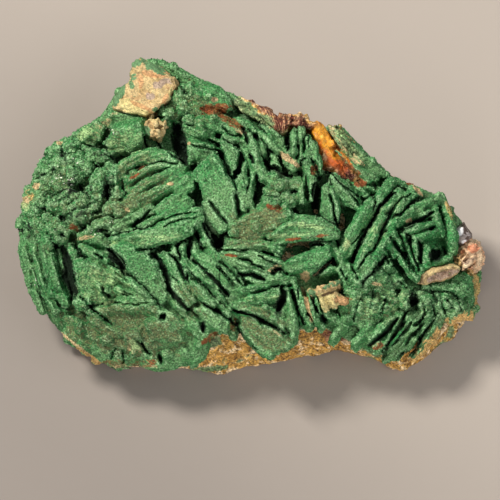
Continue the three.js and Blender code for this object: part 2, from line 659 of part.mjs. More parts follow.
// Middle: a big lying blade and the fan of slanting blades under it
blades.sheaf = [
  table(
    [
      [-28, -5], [-24, -4.4], [-21, -3.4], [-17.4, -3], [-13.6, -1.4], [-10, -0.1],
      [-9, -1], [-10.8, -3.8], [-14.6, -5.6], [-18, -6.1], [-21, -7], [-25, -6.8],
    ],
    8.2,
    [0.06, 0.3],
    2.2,
    0.3,
  ),
  blade([[-18.2, -2.4], [-15.4, -1], [-12.6, 0.4], [-10.3, 1]], 1.1, 8.4, [0, -0.4]),
  blade([[-9.5, -1.8], [-8, -5], [-7.2, -7], [-4.9, -8.4]], 1.3, 7.8, [-0.2, -0.2]),
  blade([[-14.9, -5.8], [-14.5, -7.6], [-14, -9.5]], 1, 7, [-0.2, 0]),
  blade([[-13.2, -5.6], [-13.2, -7], [-12.8, -8.6]], 0.9, 7.2, [-0.2, 0]),
  blade([[-11.4, -5.2], [-10.9, -7], [-10.2, -8.8]], 0.9, 7.4, [-0.2, 0]),
  table(
    [
      [-17.2, -7.2], [-15.4, -7.6], [-13.6, -10.6], [-12, -13.6], [-12.8, -14.8], [-14.8, -12.4],
      [-16.2, -10],
    ],
    7, [-0.25, -0.1], 2.6, 0.3,
  ),
  blade([[-16.4, -11.4], [-15, -13.8], [-13.4, -16.2], [-11.8, -18.2]], 1.4, 6.8, [-0.35, -0.2]),
  blade(
    [[-13.3, -8.4], [-12.2, -11], [-10.2, -13.9], [-8.2, -16.4], [-6.7, -18.2]],
    1.2, 7.6, [-0.35, -0.2],
  ),
  blade(
    [[-12.4, -8.9], [-10, -11.4], [-8.2, -13.6], [-6.2, -15.8], [-3.6, -19.4]],
    1.2, 7.8, [-0.35, -0.2],
  ),
  blade([[-9.8, -9.4], [-7.6, -11.6], [-5.2, -14], [-3.2, -15.7]], 1.1, 8, [-0.3, -0.25]),
  blade([[-9.8, -7.9], [-7, -9.2], [-5, -11.2], [-3.6, -13.2], [-2.6, -15.1]], 1.5, 8.2, [-0.3, -0.25]),
  blade([[-7.8, -6.7], [-5.4, -8.9], [-3, -11.2], [-1.5, -14.1]], 1.3, 8.1, [-0.3, -0.25]),
  blade([[-6, -8.3], [-2, -9.3], [1.4, -10.6], [4.2, -12]], 1.7, 7.6, [-0.1, -0.45]),
  blade([[-5.6, -6.8], [-2, -7.4], [1.2, -8.1]], 1.2, 7.8, [0, -0.4]),
  blade([[-0.4, -8.4], [2, -9.3], [4.6, -10.9]], 1, 7.7, [-0.1, -0.4]),
  blade([[0.6, -7.6], [3.4, -8.4], [6.9, -9.6]], 1.1, 7.9, [-0.1, -0.4]),
  blade([[2.8, -12.4], [5.6, -12.2], [9.2, -13.1]], 1.4, 7, [0, -0.4]),
  blade([[-1.6, -11.6], [0.8, -12.6], [3.4, -13.6]], 1.2, 6.8, [-0.1, -0.4]),
  table(
    [[-11.4, -18.8], [-8.4, -18.3], [-6.4, -19.9], [-3.8, -21.6], [-4.6, -23.7], [-6.6, -23], [-9, -21.2]],
    5.8, [0.1, 0.2], 3.2, 0.3,
  ),
  blade([[-15, -16.2], [-13.4, -17.6], [-12.6, -19.2]], 1.3, 6, [-0.3, -0.2]),
  blade([[-7.2, -22.6], [-8.8, -24.2], [-10.4, -26]], 1.3, 4.6, [-0.2, -0.3]),
  blade([[-12.4, -20.2], [-10.6, -21.6], [-8.6, -23.6]], 1.2, 5.2, [-0.2, -0.3]),
  blade([[-15.6, -9.4], [-14.2, -12], [-12.4, -14.8], [-10.6, -17.2]], 1.1, 7.2, [-0.35, -0.2]),
  blade([[-18.2, -7.4], [-17.4, -9.4], [-16.8, -12]], 1.1, 6.6, [-0.3, -0.1]),
];

// Upper middle: diamond-shaped face and pointed upright blades
blades.fan = [
  table(
    [
      [-8, 11.8], [-6, 10.8], [-4.3, 7.6], [-3, 5], [-2.5, 1], [-2.8, -1.6], [-4, -2], [-6.6, 0.8],
      [-9, 3], [-10.4, 6.2], [-11.7, 7.7],
    ],
    8.4, [0.32, 0.06], 2.6, 0.35,
  ),
  table(
    [[-9.6, 2.4], [-8, 2.6], [-6.4, 0.4], [-4.4, -3.2], [-5.9, -3.8], [-7.2, -2.4], [-10, 1.2]],
    7.4, [0.3, 0.1], 2.4, 0.3,
  ),
  table(
    [[-13.2, 16.8], [-12.5, 18.5], [-8.8, 19], [-6.8, 19.5], [-6, 17], [-7.6, 15], [-11.6, 14.7]],
    7.2, [0.05, 0.25], 4.4, 0.4,
  ),
  table(
    [[-12.5, 13.8], [-9, 13.7], [-6.3, 12.1], [-7.5, 10.2], [-10, 9.7], [-12.3, 10.6]],
    7.2, [0.1, 0.3], 4, 0.4,
  ),
  table(
    [[-8, 19.2], [-4.8, 18.8], [-2.8, 17.2], [-1.4, 16.4], [-2.6, 15.2], [-5.6, 15.8], [-7.4, 17]],
    6.8, [0.1, 0.2], 3.6, 0.3,
  ),
  table(
    [[-5.8, 14.5], [-3.8, 13.8], [-2.1, 13], [-2.5, 11], [-3.3, 6.4], [-4.2, 7.4], [-5.2, 10.6]],
    8.2, [0.2, 0], 2.4, 0.3,
  ),
  blade([[-5.5, 15.6], [-3.2, 14.8], [-0.9, 14.4]], 1.2, 7.8, [0, -0.3]),
  blade([[-1.2, 12.9], [-1, 9.8], [-1.4, 6], [-1, 0.4]], 1.2, 8.4, [-0.3, 0]),
  blade([[1.2, 8.9], [0, 6], [-0.1, 3], [0.6, 0.8]], 1.1, 8, [-0.3, 0]),
  blade([[-0.8, 16.7], [0.8, 13.4], [1.7, 10], [3.4, 6.8]], 1.7, 8.2, [-0.3, 0]),
  blade([[0.6, 17.5], [2.6, 15.5], [4.2, 14.3], [6.2, 12.6]], 1.4, 7.8, [-0.2, -0.2]),
  blade([[2.4, 14], [2.9, 12.4], [3.5, 10.8]], 1, 7.8, [-0.2, 0]),
  blade([[-2.8, 6.4], [-2, 8], [-1.8, 5.8]], 0.9, 8.8, [-0.2, 0]),
  blade([[-13.4, 14.6], [-12.2, 12.4], [-11.6, 9.6]], 1.1, 6.6, [0.1, -0.2]),
  blade([[-3, 19], [-1, 18.2], [0.4, 17.4]], 1.4, 6.4, [0, -0.3]),
  lump(-9.6, 16.6, 7.4, 1.4),
];

// Top of the face: blades, lumps and the long leaning blade beside the hollow
blades.crown = [
  table(
    [
      [-13.8, 25.8], [-9.6, 25.4], [-6.4, 24.8], [-4.2, 23.6], [-3, 20.8], [-6, 20], [-9.6, 20],
      [-12.6, 21.4], [-14.6, 23.4],
    ],
    6.4, [-0.05, 0.1], 5, 0.5,
  ),
  blade([[-20.6, 30.4], [-17.6, 30], [-14.4, 28.4], [-11, 26.6]], 1.5, 7.4, [0.1, -0.3], 9),
  blade([[-12.4, 27], [-9.6, 26], [-6, 24.8]], 1.4, 6.4, [0, -0.3]),
  blade([[-14.6, 22.6], [-12.4, 21], [-9.4, 19.8]], 1.4, 7.6, [0, -0.3]),
  blade([[-14.6, 26.2], [-13.6, 23.6], [-13.4, 20.6]], 1.3, 7.4, [0.2, 0]),
  blade([[8.7, 17.8], [8.9, 15.4], [8.7, 13]], 1.1, 7.4, [-0.2, 0]),
  blade([[10.3, 18.4], [10.5, 16.4], [10.1, 14]], 1.1, 7.2, [-0.2, 0]),
  blade([[11.6, 15.6], [12.9, 13], [13.7, 10.2], [13.9, 7.4]], 1.2, 7.6, [-0.25, 0]),
  blade([[11.2, 12], [11.9, 9.2], [12.7, 6.6], [12.1, 2.6]], 1.2, 7.8, [-0.3, 0]),
  table(
    [[6.2, 12.6], [7.6, 11.9], [9.3, 10.1], [9.5, 8.8], [8.4, 7.9], [6.8, 10]],
    7.6, [0.1, 0.1], 3.6, 0.3,
  ),
  table(
    [[3.8, 7], [6.4, 7.6], [9, 7.1], [11, 6.6], [11.4, 3.2], [7.5, 3], [3.6, 3]],
    6.6, [0, 0.15], 4, 0.4,
  ),
  blade([[3.4, 3], [7.4, 3.3], [11.6, 2.9]], 1.2, 7.2, [0, -0.3]),
  blade([[9.9, 7.6], [10.4, 5], [10.5, 2]], 1, 8, [-0.2, 0]),
  table(
    [[14.2, 5.5], [15.6, 6.3], [16.6, 4], [17.1, -2.1], [15.4, -1.4], [13.9, 0]],
    7.8, [0.3, 0.05], 2.6, 0.3,
  ),
  blade([[16.6, 4.2], [17.4, 1], [17.6, -1.6]], 0.9, 8.2, [-0.2, 0]),
  table(
    [[15.8, 7.9], [19, 5.2], [21.9, 1.5], [21.6, 0.4], [18.6, 2], [16.6, 4.6]],
    7.4, [0.15, 0.35], 2.8, 0.3,
  ),
  blade([[17.2, 13.2], [19.6, 10.4], [22.4, 8.2], [25.4, 6.4]], 1.5, 6.6, [0.1, 0]),
  blade([[15.4, 17.4], [18.6, 14.8], [21.6, 12], [24.6, 9.2], [27.6, 7.6]], 1.7, 5, [0.05, -0.1]),
  blade([[19.6, 11.6], [22.6, 10], [25.6, 8]], 1.8, 5.4, [0, -0.1]),
  blade([[4.6, 11.9], [5.4, 9.8], [6.4, 8]], 1.2, 7, [-0.2, 0]),
  blade([[6.8, 15.2], [6.2, 13.4], [5.8, 11.6]], 1.2, 6.6, [-0.2, 0]),
  blade([[-17.4, 24.2], [-16, 21.4], [-14.8, 18.8]], 1.4, 5.6, [0.2, 0]),
  blade([[-18.4, 21], [-17, 19], [-16, 17.4]], 1.3, 5.4, [0.2, 0]),
  blade([[21.6, 8.4], [23.6, 6.2], [26, 4.4]], 1.4, 6, [0, -0.3]),
  blade([[19.4, 8], [21.4, 5.6], [23.2, 3.6]], 1.3, 6.4, [0.2, -0.2]),
  lump(21.7, 10.5, 5.2, 1.4),
  lump(8.2, 12.4, 6, 1.5),
  lump(5.2, 5.6, 6.8, 1.3),
];

// Centre: broad dusty face, the pale-edged lens and small facets under it
blades.centre = [
  table(
    [
      [-4, -2.2], [0.4, 0.4], [3, 1.9], [7, 0.6], [7.6, 0.8], [8.4, -1], [5, -3.1], [2, -5.3],
      [-3.6, -5.1],
    ],
    7.8, [0.02, 0.22], 3, 0.4,
  ),
  table([[-5, -5.2], [2, -5.6], [6.8, -5.8], [6.6, -7.2], [1, -7.4], [-4.6, -7]], 6.8, [0, 0.3], 3, 0.3),
  table(
    [
      [3.3, -4.8], [4.6, -3.5], [8, -1.8], [13, -1.2], [15.2, -2], [17.2, -3.2], [18.1, -4.6],
      [16, -5.2], [11, -5.2], [6, -5.7],
    ],
    8.4, [0.04, 0.28], 1.9, 0.25,
  ),
  blade([[4.4, -3.9], [7.6, -2], [11, -1.2], [14.8, -1.6], [17.9, -4]], 0.8, 9.4, [0, -0.3], 4),
  blade([[8, -0.6], [11, -0.4], [14.6, -1.2]], 0.9, 8.2, [0, -0.3]),
  table([[7.2, -5.9], [10.9, -6.2], [10, -7.6], [8, -9.1], [7.2, -8]], 7.2, [0.1, 0.3], 2.8, 0.3),
  table(
    [[6.4, -10], [11, -8.2], [15.8, -6.6], [16.4, -8], [14, -10.6], [12, -12], [9.4, -11.6], [6.8, -11.5]],
    7, [0.05, 0.25], 3, 0.3,
  ),
  blade([[6.9, -9.7], [11, -8.2], [15.6, -6.6]], 1, 8, [0, -0.4]),
  blade([[7.6, -11.2], [12, -9.6], [16.1, -7.6]], 1, 7.6, [0, -0.4]),
  blade([[5.2, -6.6], [5.7, -7.6], [6.2, -8.6]], 0.9, 7.6, [-0.1, 0]),
  blade([[12, -6], [14.4, -5.8], [17, -6]], 1, 7.2, [0, -0.3]),
  lump(4.6, 1.4, 7.6, 1.2),
];

// Lower middle: half-round slab and curved bands
blades.lowerFan = [
  blade([[-4.6, -17], [-2, -15.2], [1, -14.2], [4.2, -13.7]], 1.1, 6.8, [0, -0.4]),
  blade([[-4.2, -18], [0, -16.8], [4, -15.8], [6.3, -15.4]], 1.6, 6.6, [0, -0.45]),
  blade([[-3.2, -18.8], [0.4, -18.6], [4, -19], [7, -21], [9.5, -23.4]], 1.6, 6.2, [-0.1, -0.5]),
  table(
    [
      [-2.4, -20.6], [0, -20.9], [4.4, -22.4], [7.2, -23.8], [9, -26], [7.4, -27.2], [5, -28],
      [2.9, -28.4], [0.6, -26.6], [-1.5, -23.8],
    ],
    4.2, [0.02, 0.22], 2.8, 0.4,
  ),
  blade([[7.1, -14.6], [8, -17.2], [8.6, -20], [9.1, -23]], 1.2, 6.4, [-0.2, -0.1]),
  blade([[9.3, -14.6], [9.9, -17.2], [10.8, -19.8], [12.2, -22.2]], 1.1, 6.2, [-0.2, -0.1]),
  blade([[11.3, -16.4], [12, -18.6], [13.4, -21]], 1, 5.6, [-0.1, -0.1]),
  blade([[5.6, -17.2], [6.6, -19], [7.2, -20.6]], 1, 5.6, [-0.1, -0.1]),
  blade([[-3.6, -20.2], [-3, -22.4], [-3.2, -24.4]], 1.2, 4.8, [0, -0.1]),
  blade([[-1.6, -15.8], [1, -15.4], [3.6, -15]], 1, 6.2, [0, -0.4]),
  blade([[12.6, -18.6], [13.6, -20.6], [15, -22.6]], 1.1, 5.4, [-0.1, -0.1]),
  blade([[6.6, -12.6], [7.4, -13.8], [9.4, -14.2]], 1.2, 6.4, [0, -0.3]),
  lump(11, -12.3, 7.2, 1.2),
];

// Right of the middle: long leaning blades side by side
blades.rightSheaf = [
  blade([[24.4, 3.2], [22.5, 0.9], [20.6, -1.8], [19, -5], [17.3, -9]], 1.6, 8, [0.3, -0.2]),
  blade([[22.6, -2], [21, -4.2], [20.2, -6.2], [19.4, -8.4]], 1.1, 7.4, [0.25, -0.2]),
  blade([[28.3, 7.2], [26.8, 5.2], [25.2, 3.2], [23.8, 0.4]], 1.5, 7.2, [0.3, -0.2]),
  blade([[28.4, 3], [26.7, 0.9], [25.3, -2], [24, -5], [22.2, -7.6], [20.9, -11]], 1.5, 8, [0.3, -0.2]),
  blade([[32.6, 5.5], [30.5, 3.5], [29.2, 1.2], [27.4, -1.6]], 1.7, 7.2, [0.3, -0.25]),
  blade([[28.6, -3], [26.8, -4.8], [25.2, -6.8], [23.4, -9.6], [21.7, -13.1]], 1.9, 8, [0.3, -0.2]),
  blade([[30.4, 5.6], [28.8, 4.4], [27.2, 2.4]], 1, 6.8, [0.3, -0.2]),
  blade([[25.8, 0], [24.4, -2.6], [22.8, -5.4], [21.6, -8.2]], 0.9, 7.4, [0.3, -0.2]),
  blade([[16, -4.8], [17.3, -7.8], [18.5, -11], [19.6, -13.7]], 1.3, 7, [0.2, -0.1]),
  blade([[18.6, -9.2], [20, -11.2], [21.1, -13.2], [21.9, -15]], 1.2, 6.6, [0.2, -0.1]),
  table([[18.5, -14.2], [21, -14.9], [22.2, -16], [20.6, -17.7], [19.2, -16.6]], 6, [0.1, 0.3], 3, 0.3),
  blade([[13.9, -11.7], [16, -10.8], [17.6, -10.6], [19.2, -13.6]], 1.1, 6.8, [0, -0.2]),
  table(
    [[18.4, -17.4], [21.4, -17.6], [24, -17], [25.6, -19.6], [23.4, -22.6], [19.4, -21.6], [17.4, -19.6]],
    4.6, [0, 0.25], 3.2, 0.4,
  ),
  blade([[14.6, -19.4], [17, -20.6], [19.6, -22.2]], 1.2, 5, [0, -0.3]),
  blade([[24, -13.3], [26.2, -14.2], [28.4, -15.6]], 1.2, 6.2, [0, -0.3]),
  blade([[22.8, -16.2], [25, -17.4], [27, -19.4]], 1.2, 5.8, [0, -0.3]),
  blade([[23.6, -11.6], [25.4, -11.8], [27.6, -12.6]], 1.2, 6.6, [0, -0.3]),
];

// Right: box of crossing blades
blades.box = [
  blade([[26.6, -2.8], [29, -1], [32, 0.8], [34.4, 2.2], [37.2, 3.2]], 1.5, [7.8, 6.4], [0.2, -0.3]),
  blade([[38, 4], [39, 1.6], [39.9, -1], [40.7, -4.4], [40.6, -8]], 1.6, 5.6, [-0.3, 0]),
  blade([[36.6, 2.8], [37, 0], [37.8, -2.4], [38.6, -4.6]], 1.3, 6, [-0.3, 0]),
  blade([[26.8, -4.8], [28, -6.6], [29.4, -8.4]], 1.1, 7.4, [0.3, 0]),
  blade([[26.2, -5.4], [26.6, -7.2], [28.4, -8.8]], 0.9, 6.8, [0.3, 0]),
  blade([[28.8, -4.7], [29.6, -6], [30.4, -7.3]], 1, 7.4, [0.3, 0]),
  blade([[30, -3.6], [30.6, -4.8], [31.1, -6.2]], 0.9, 7.4, [0.3, 0]),
  blade([[29.2, -8], [30.6, -9.6], [32, -12], [33.1, -13.2]], 1.3, 6.8, [0.3, 0]),
  blade([[31.2, -6], [32, -9], [33.4, -12.2]], 0.9, 7, [0.3, 0]),
  blade([[32.2, -4.2], [32.8, -6.6], [33.6, -9.2]], 0.9, 7.2, [0.3, 0]),
  blade([[32.3, -4.4], [34.8, -3.8], [37.2, -3.2]], 0.9, 7.2, [0, -0.3]),
  blade([[30.2, -3.4], [33, -2.5], [36.6, -1.2]], 1, 7.4, [0, -0.3]),
  blade([[35, -5.8], [35, -8], [34.7, -10.2]], 1.3, 6.6, [0.1, 0]),
  blade([[33.9, -11], [36, -10.1], [38.2, -9.4], [40.2, -8.2]], 1.4, 6, [0, -0.3]),
  blade([[33.4, -0.8], [35, 0.2], [36.8, 1]], 0.9, 6.8, [0, -0.3]),
  lump(37, -6, 5.4, 1.3),
  lump(26.8, -10.2, 5.6, 1.5),
];

// Lower right: ledge and broad blades down to the edge
blades.lowerRight = [
  table(
    [
      [33.2, -14.8], [36, -14.3], [39, -13.8], [41.2, -12.3], [43.6, -12.3], [44.2, -13.6], [44, -16],
      [40, -16], [36, -15.8],
    ],
    4.6, [-0.05, 0.2], 4, 0.4,
  ),
  blade([[23.4, -24.5], [26, -22], [28.4, -20], [30.1, -18.7]], 1.6, 5, [0.1, -0.6]),
  blade([[26.8, -25.5], [28.6, -22.9], [30.6, -20.9], [32.1, -19.7]], 1.6, 5.2, [0.3, -0.4]),
  blade([[29.5, -24], [31, -22], [33, -20], [35.1, -18.7]], 1.4, 5.2, [0.3, -0.3]),
  blade([[20.4, -25.4], [22.4, -23.2], [24.6, -21.4]], 1.4, 4.6, [0.1, -0.5]),
  blade([[16.2, -24.6], [17.6, -22.6], [19.4, -21]], 1.3, 4.4, [0, -0.4]),
  table(
    [[26.2, -29.8], [27.2, -27], [29.5, -24.8], [32, -22.4], [33.6, -22.8], [32.4, -26], [29.4, -29.2]],
    3.2, [0.1, 0.62], 3.4, 0.3,
  ),
  blade([[33.4, -27.4], [34.6, -24.4], [36.1, -21.6], [38.1, -19.4]], 1.6, [3.2, 4.8], [0.3, -0.3]),
  blade([[32, -28.4], [35.3, -25], [37, -22.4], [38.4, -20.8]], 1.3, [2, 4], [0.2, -0.3]),
  blade([[42.6, -14.6], [43.6, -17], [43, -19.4], [41.6, -21]], 1.5, 3.8, [-0.3, 0.1]),
  blade([[41.8, -16.8], [41.4, -18.6], [39.6, -20.6]], 1.3, 4.6, [-0.2, 0]),
  blade([[33.4, -15.6], [34.4, -17], [34.6, -19]], 1.5, 5.2, [0.1, 0]),
  blade([[36, -16.8], [37.6, -18], [38, -20]], 1.4, 4.8, [0, 0]),
  blade([[29, -12.4], [30.4, -14.6], [32.4, -16.4]], 1.4, 6, [0.2, -0.1]),
  blade([[26.8, -15], [29, -16.6], [31.4, -18.4]], 1.3, 5.4, [0.1, -0.3]),
  blade([[28, -10.6], [28.6, -12.8], [28, -15]], 1.3, 6, [0.1, 0]),
  blade([[38.4, -15.4], [39.4, -17.4], [39.6, -19]], 1.1, 4.6, [0, 0]),
  blade([[24.2, -20], [26.4, -18.6], [28.6, -17.6]], 1.2, 5.4, [0.1, -0.3]),
  lump(25.6, -26.2, 2.8, 1.7),
  lump(30.6, -17, 5.2, 1.4),
  lump(43.4, -20, 1, 1.5),
];

// Thins out the triangles that the joins leave behind: edges are closed up, those that change the surface
// least first, while the surface stays closed and no facet turns over
function thinOut(position, index, most, tolerance) {
  const p = Float64Array.from(position);
  const count = p.length / 3;
  let faces = [];
  for (let i = 0; i < index.length; i += 3) {
    faces.push([index[i], index[i + 1], index[i + 2]]);
  }
  const facing = (q, a, b, c) => {
    const ux = q[b] - q[a];
    const uy = q[b + 1] - q[a + 1];
    const uz = q[b + 2] - q[a + 2];
    const vx = q[c] - q[a];
    const vy = q[c + 1] - q[a + 1];
    const vz = q[c + 2] - q[a + 2];
    return [uy * vz - uz * vy, uz * vx - ux * vz, ux * vy - uy * vx];
  };
  // Squared distance to the planes around each corner, weighted by area
  const planes = Array.from({ length: count }, () => new Float64Array(NUMBERS_OF_PLANES));
  for (const f of faces) {
    const n = facing(p, f[0] * 3, f[1] * 3, f[2] * 3);
    const size = Math.hypot(...n);
    if (size < 1e-9) {
      continue;
    }
    const [x, y, z] = n.map((v) => v / size);
    const d = -(x * p[f[0] * 3] + y * p[f[0] * 3 + 1] + z * p[f[0] * 3 + 2]);
    const terms = [x * x, x * y, x * z, x * d, y * y, y * z, y * d, z * z, z * d, d * d, 1];
    for (const v of f) {
      for (let k = 0; k < NUMBERS_OF_PLANES; k += 1) {
        planes[v][k] += (terms[k] * size) / 2;
      }
    }
  }
  const change = (a, b, x, y, z) => {
    const t = (k) => planes[a][k] + planes[b][k];
    const sum =
      t(0) * x * x + 2 * t(1) * x * y + 2 * t(2) * x * z + 2 * t(3) * x + t(4) * y * y +
      2 * t(5) * y * z + 2 * t(6) * y + t(7) * z * z + 2 * t(8) * z + t(9);
    return Math.max(sum, 0) / Math.max(t(10), 1e-9);
  };
  for (let pass = 0; pass < MOST_PASSES; pass += 1) {
    const around = Array.from({ length: count }, () => []);
    faces.forEach((f, i) => f.forEach((v) => around[v].push(i)));
    const edges = [];
    for (const f of faces) {
      for (let k = 0; k < 3; k += 1) {
        const a = f[k];
        const b = f[(k + 1) % 3];
        if (a > b) {
          continue;
        }
        const ends = [a, b].map((v) => [p[v * 3], p[v * 3 + 1], p[v * 3 + 2]]);
        const mid = ends[0].map((v, i) => (v + ends[1][i]) / 2);
        const length = Math.hypot(...ends[0].map((v, i) => v - ends[1][i]));
        let best = [Infinity, null];
        for (const to of [...ends, mid]) {
          const cost = length < SHORT_EDGE ? length * 1e-6 : change(a, b, ...to) + 1e-6 * length;
          if (cost < best[0]) {
            best = [cost, to];
          }
        }
        if (best[0] < tolerance * tolerance && (length < SHORT_EDGE || faces.length > most)) {
          edges.push([best[0], a, b, best[1], mid, ...ends]);
        }
      }
    }
    edges.sort((m, n) => m[0] - n[0]);
    edges.length = Math.min(edges.length, Math.max(200, Math.ceil(edges.length / 3)));
    const touched = new Set();
    const gone = new Set();
    for (const [, a, b, ...choices] of edges) {
      const ring = [...new Set([...around[a], ...around[b]])];
      const near = new Set(ring.flatMap((i) => faces[i]));
      if ([...near].some((v) => touched.has(v))) {
        continue;
      }
      const na = new Set(around[a].flatMap((i) => faces[i]));
      const nb = new Set(around[b].flatMap((i) => faces[i]));
      const shared = [...na].filter((v) => nb.has(v) && v !== a && v !== b);
      if (shared.length !== 2) {
        continue;
      }
      const corner = (v) => [p[v * 3], p[v * 3 + 1], p[v * 3 + 2]];
      const fits = (to) =>
        ring.every((i) => {
          const f = faces[i];
          if (f.includes(a) && f.includes(b)) {
            return true;
          }
          const m = facing(f.flatMap(corner), 0, 3, 6);
          const q = f.flatMap((v) => (v === a || v === b ? to : corner(v)));
          const n = facing(q, 0, 3, 6);
          const sm = Math.hypot(...m);
          const sn = Math.hypot(...n);
          const longest = Math.max(
            Math.hypot(q[0] - q[3], q[1] - q[4], q[2] - q[5]),
            Math.hypot(q[3] - q[6], q[4] - q[7], q[5] - q[8]),
            Math.hypot(q[6] - q[0], q[7] - q[1], q[8] - q[2]),
          );
          const dot = (m[0] * n[0] + m[1] * n[1] + m[2] * n[2]) / Math.max(sm * sn, 1e-12);
          return sn > LEAST_SLENDER * longest * longest && (sm < TINY || dot > LEAST_TURN);
        });
      const to = choices.find(fits);
      if (!to) {
        continue;
      }
      p.set(to, a * 3);
      for (let k = 0; k < NUMBERS_OF_PLANES; k += 1) {
        planes[a][k] += planes[b][k];
      }
      for (const i of around[b]) {
        if (faces[i].includes(a)) {
          gone.add(i);
        } else {
          faces[i] = faces[i].map((v) => (v === b ? a : v));
        }
      }
      near.forEach((v) => touched.add(v));
    }
    if (gone.size === 0) {
      break;
    }
    faces = faces.filter((f, i) => !gone.has(i));
  }
  const names = new Map();
  const out = [];
  const tri = [];
  for (const f of faces) {
    for (const v of f) {
      if (!names.has(v)) {
        names.set(v, names.size);
        out.push(p[v * 3], p[v * 3 + 1], p[v * 3 + 2]);
      }
      tri.push(names.get(v));
    }
  }
  return [out, tri];
}

// Largest connected body of a solid: bits cut loose by a pocket are dropped
function mainBody(geometry) {
  const index = geometry.getIndex().array;
  const position = geometry.getAttribute("position").array;
  const parent = new Map();
  const root = (v) => {
    let r = v;
    while (parent.has(r) && parent.get(r) !== r) {
      r = parent.get(r);
    }
    return r;
  };
  for (let i = 0; i < index.length; i += 3) {
    const a = root(index[i]);
    for (const v of [index[i + 1], index[i + 2]]) {
      const b = root(v);
      if (a !== b) {
        parent.set(b, a);
      }
    }
    parent.set(a, a);
  }
  const bodies = new Map();
  for (let i = 0; i < index.length; i += 3) {
    const r = root(index[i]);
    if (!bodies.has(r)) {
      bodies.set(r, []);
    }
    bodies.get(r).push(index[i], index[i + 1], index[i + 2]);
  }
  const sorted = [...bodies.values()].sort((m, n) => n.length - m.length);
  return outward(Array.from(position), sorted[0]);
}

// Geometry of a solid, thinned out to no fewer than most facets
function geometryOf(manifold, most = 0, tolerance = EDGE_TOLERANCE) {
  const mesh = manifold.getMesh();
  const raw = new THREE.BufferGeometry();
  raw.setAttribute("position", new THREE.Float32BufferAttribute(Array.from(mesh.vertProperties), 3));
  raw.setIndex(Array.from(mesh.triVerts));
  const merged = mergeVertices(raw, 1e-4);
  const [position, index] = thinOut(
    merged.getAttribute("position").array,
    merged.getIndex().array,
    most,
    tolerance,
  );
  return mainBody(outward(position, index));
}

const all = Object.values(blades).flat();
const square = [[-WIDE, -WIDE], [WIDE, -WIDE], [WIDE, WIDE], [-WIDE, WIDE]];
const under = solid(
  loft([
    square.map(([x, y]) => [x, y, level(y, BASE_DROP - COAT_LIFT)]),
    square.map(([x, y]) => [x, y, -DEEP]),
  ]),
);

const block = cornerBlock();
const tip = brokenTip();
const right = tanBlade();
const pale = palePieces();
const pink = knob();
const metal = grain();

const pockets = join([block, tip, right, ...pale, pink, metal].map((g) => solid(g, GAP)));
const rockForms = [rock(), amber(), ...rimPlates()];
const rockSolid = join(rockForms.map((g) => solid(g))).subtract(pockets);
const rockGrown = join(rockForms.map((g) => solid(g, GAP)));
const thinned = geometryOf(join([solid(crust()), ...all.map((g) => solid(g))]), MOST_FACETS, FACET_TOLERANCE);
const green = solid(thinned)
  .subtract(rockGrown)
  .subtract(join([hollowOver(), ...bareRim()].map((g) => solid(g))))
  .subtract(pockets)
  .subtract(under);
const metalSolid = solid(metal).subtract(solid(pink, GAP));
const tipSolid = solid(tip).subtract(solid(block, GAP));

// Parts with the colours of their minerals
const parts = [
  ["barite_matrix", rockSolid, "#a5865a", 0.85, 0],
  ["malachite_blades", green, "#5f9460", 0.8, 0],
  ["corner_block", solid(block), "#c7ae80", 0.7, 0],
  ["broken_tip", tipSolid, "#c2a67c", 0.7, 0],
  ["tan_blade", solid(right), "#b8a078", 0.7, 0],
  ["broken_cluster", join(pale.map((g) => solid(g))), "#c9b596", 0.7, 0],
  ["pink_knob", solid(pink), "#cfa27e", 0.65, 0],
  ["galena_grain", metalSolid, "#4a4652", 0.35, 0.7],
];

const face = new THREE.Group();
face.name = "face";
face.rotation.x = tilt;
for (const [name, body, color, roughness, metalness] of parts) {
  const mesh = new THREE.Mesh(
    geometryOf(body),
    new THREE.MeshStandardMaterial({ color, roughness, metalness, flatShading: true }),
  );
  mesh.name = name;
  face.add(mesh);
}

const group = new THREE.Group();
group.name = "malachite_on_barite";
group.add(face);
group.updateMatrixWorld(true);
const box = new THREE.Box3().setFromObject(group, true);
const centre = box.getCenter(new THREE.Vector3());
face.position.set(-centre.x, -centre.y, BASE_DROP);

export default group;
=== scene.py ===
"""Malachite on barite: the dressed hand specimen, its finishes, the studio and the camera.

Lengths are in millimetres on the drawn face of the specimen (x to the right, y up the face, z towards
the viewer) and angles in degrees, unless a docstring says otherwise. Lengths are turned into metres in
the row frame when a mesh is written.
"""
import logging
import math
from dataclasses import dataclass, field
from enum import Enum
from itertools import product
from typing import Callable, Sequence, Union

import bmesh
import bpy
import numpy as np
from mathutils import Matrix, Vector


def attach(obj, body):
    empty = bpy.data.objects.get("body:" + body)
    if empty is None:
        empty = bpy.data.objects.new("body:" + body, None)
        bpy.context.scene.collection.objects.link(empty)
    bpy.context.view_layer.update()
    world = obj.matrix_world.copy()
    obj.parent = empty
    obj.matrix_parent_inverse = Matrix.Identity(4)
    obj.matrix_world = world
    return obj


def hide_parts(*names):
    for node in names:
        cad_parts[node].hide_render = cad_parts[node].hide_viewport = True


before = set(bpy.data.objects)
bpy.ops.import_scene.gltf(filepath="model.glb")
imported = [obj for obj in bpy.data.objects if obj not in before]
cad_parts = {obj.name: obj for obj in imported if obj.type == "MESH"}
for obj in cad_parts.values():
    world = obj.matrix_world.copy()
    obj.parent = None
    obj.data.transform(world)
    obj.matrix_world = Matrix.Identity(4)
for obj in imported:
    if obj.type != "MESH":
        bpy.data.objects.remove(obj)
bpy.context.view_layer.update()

MM = 0.001
log = logging.getLogger("specimen")

Array = np.ndarray
Colour = tuple[float, ...]
Number = Union[float, "Wire"]
Value = Union[float, Colour, "Wire", None]
Weight = Callable[[Array, Array], Array]

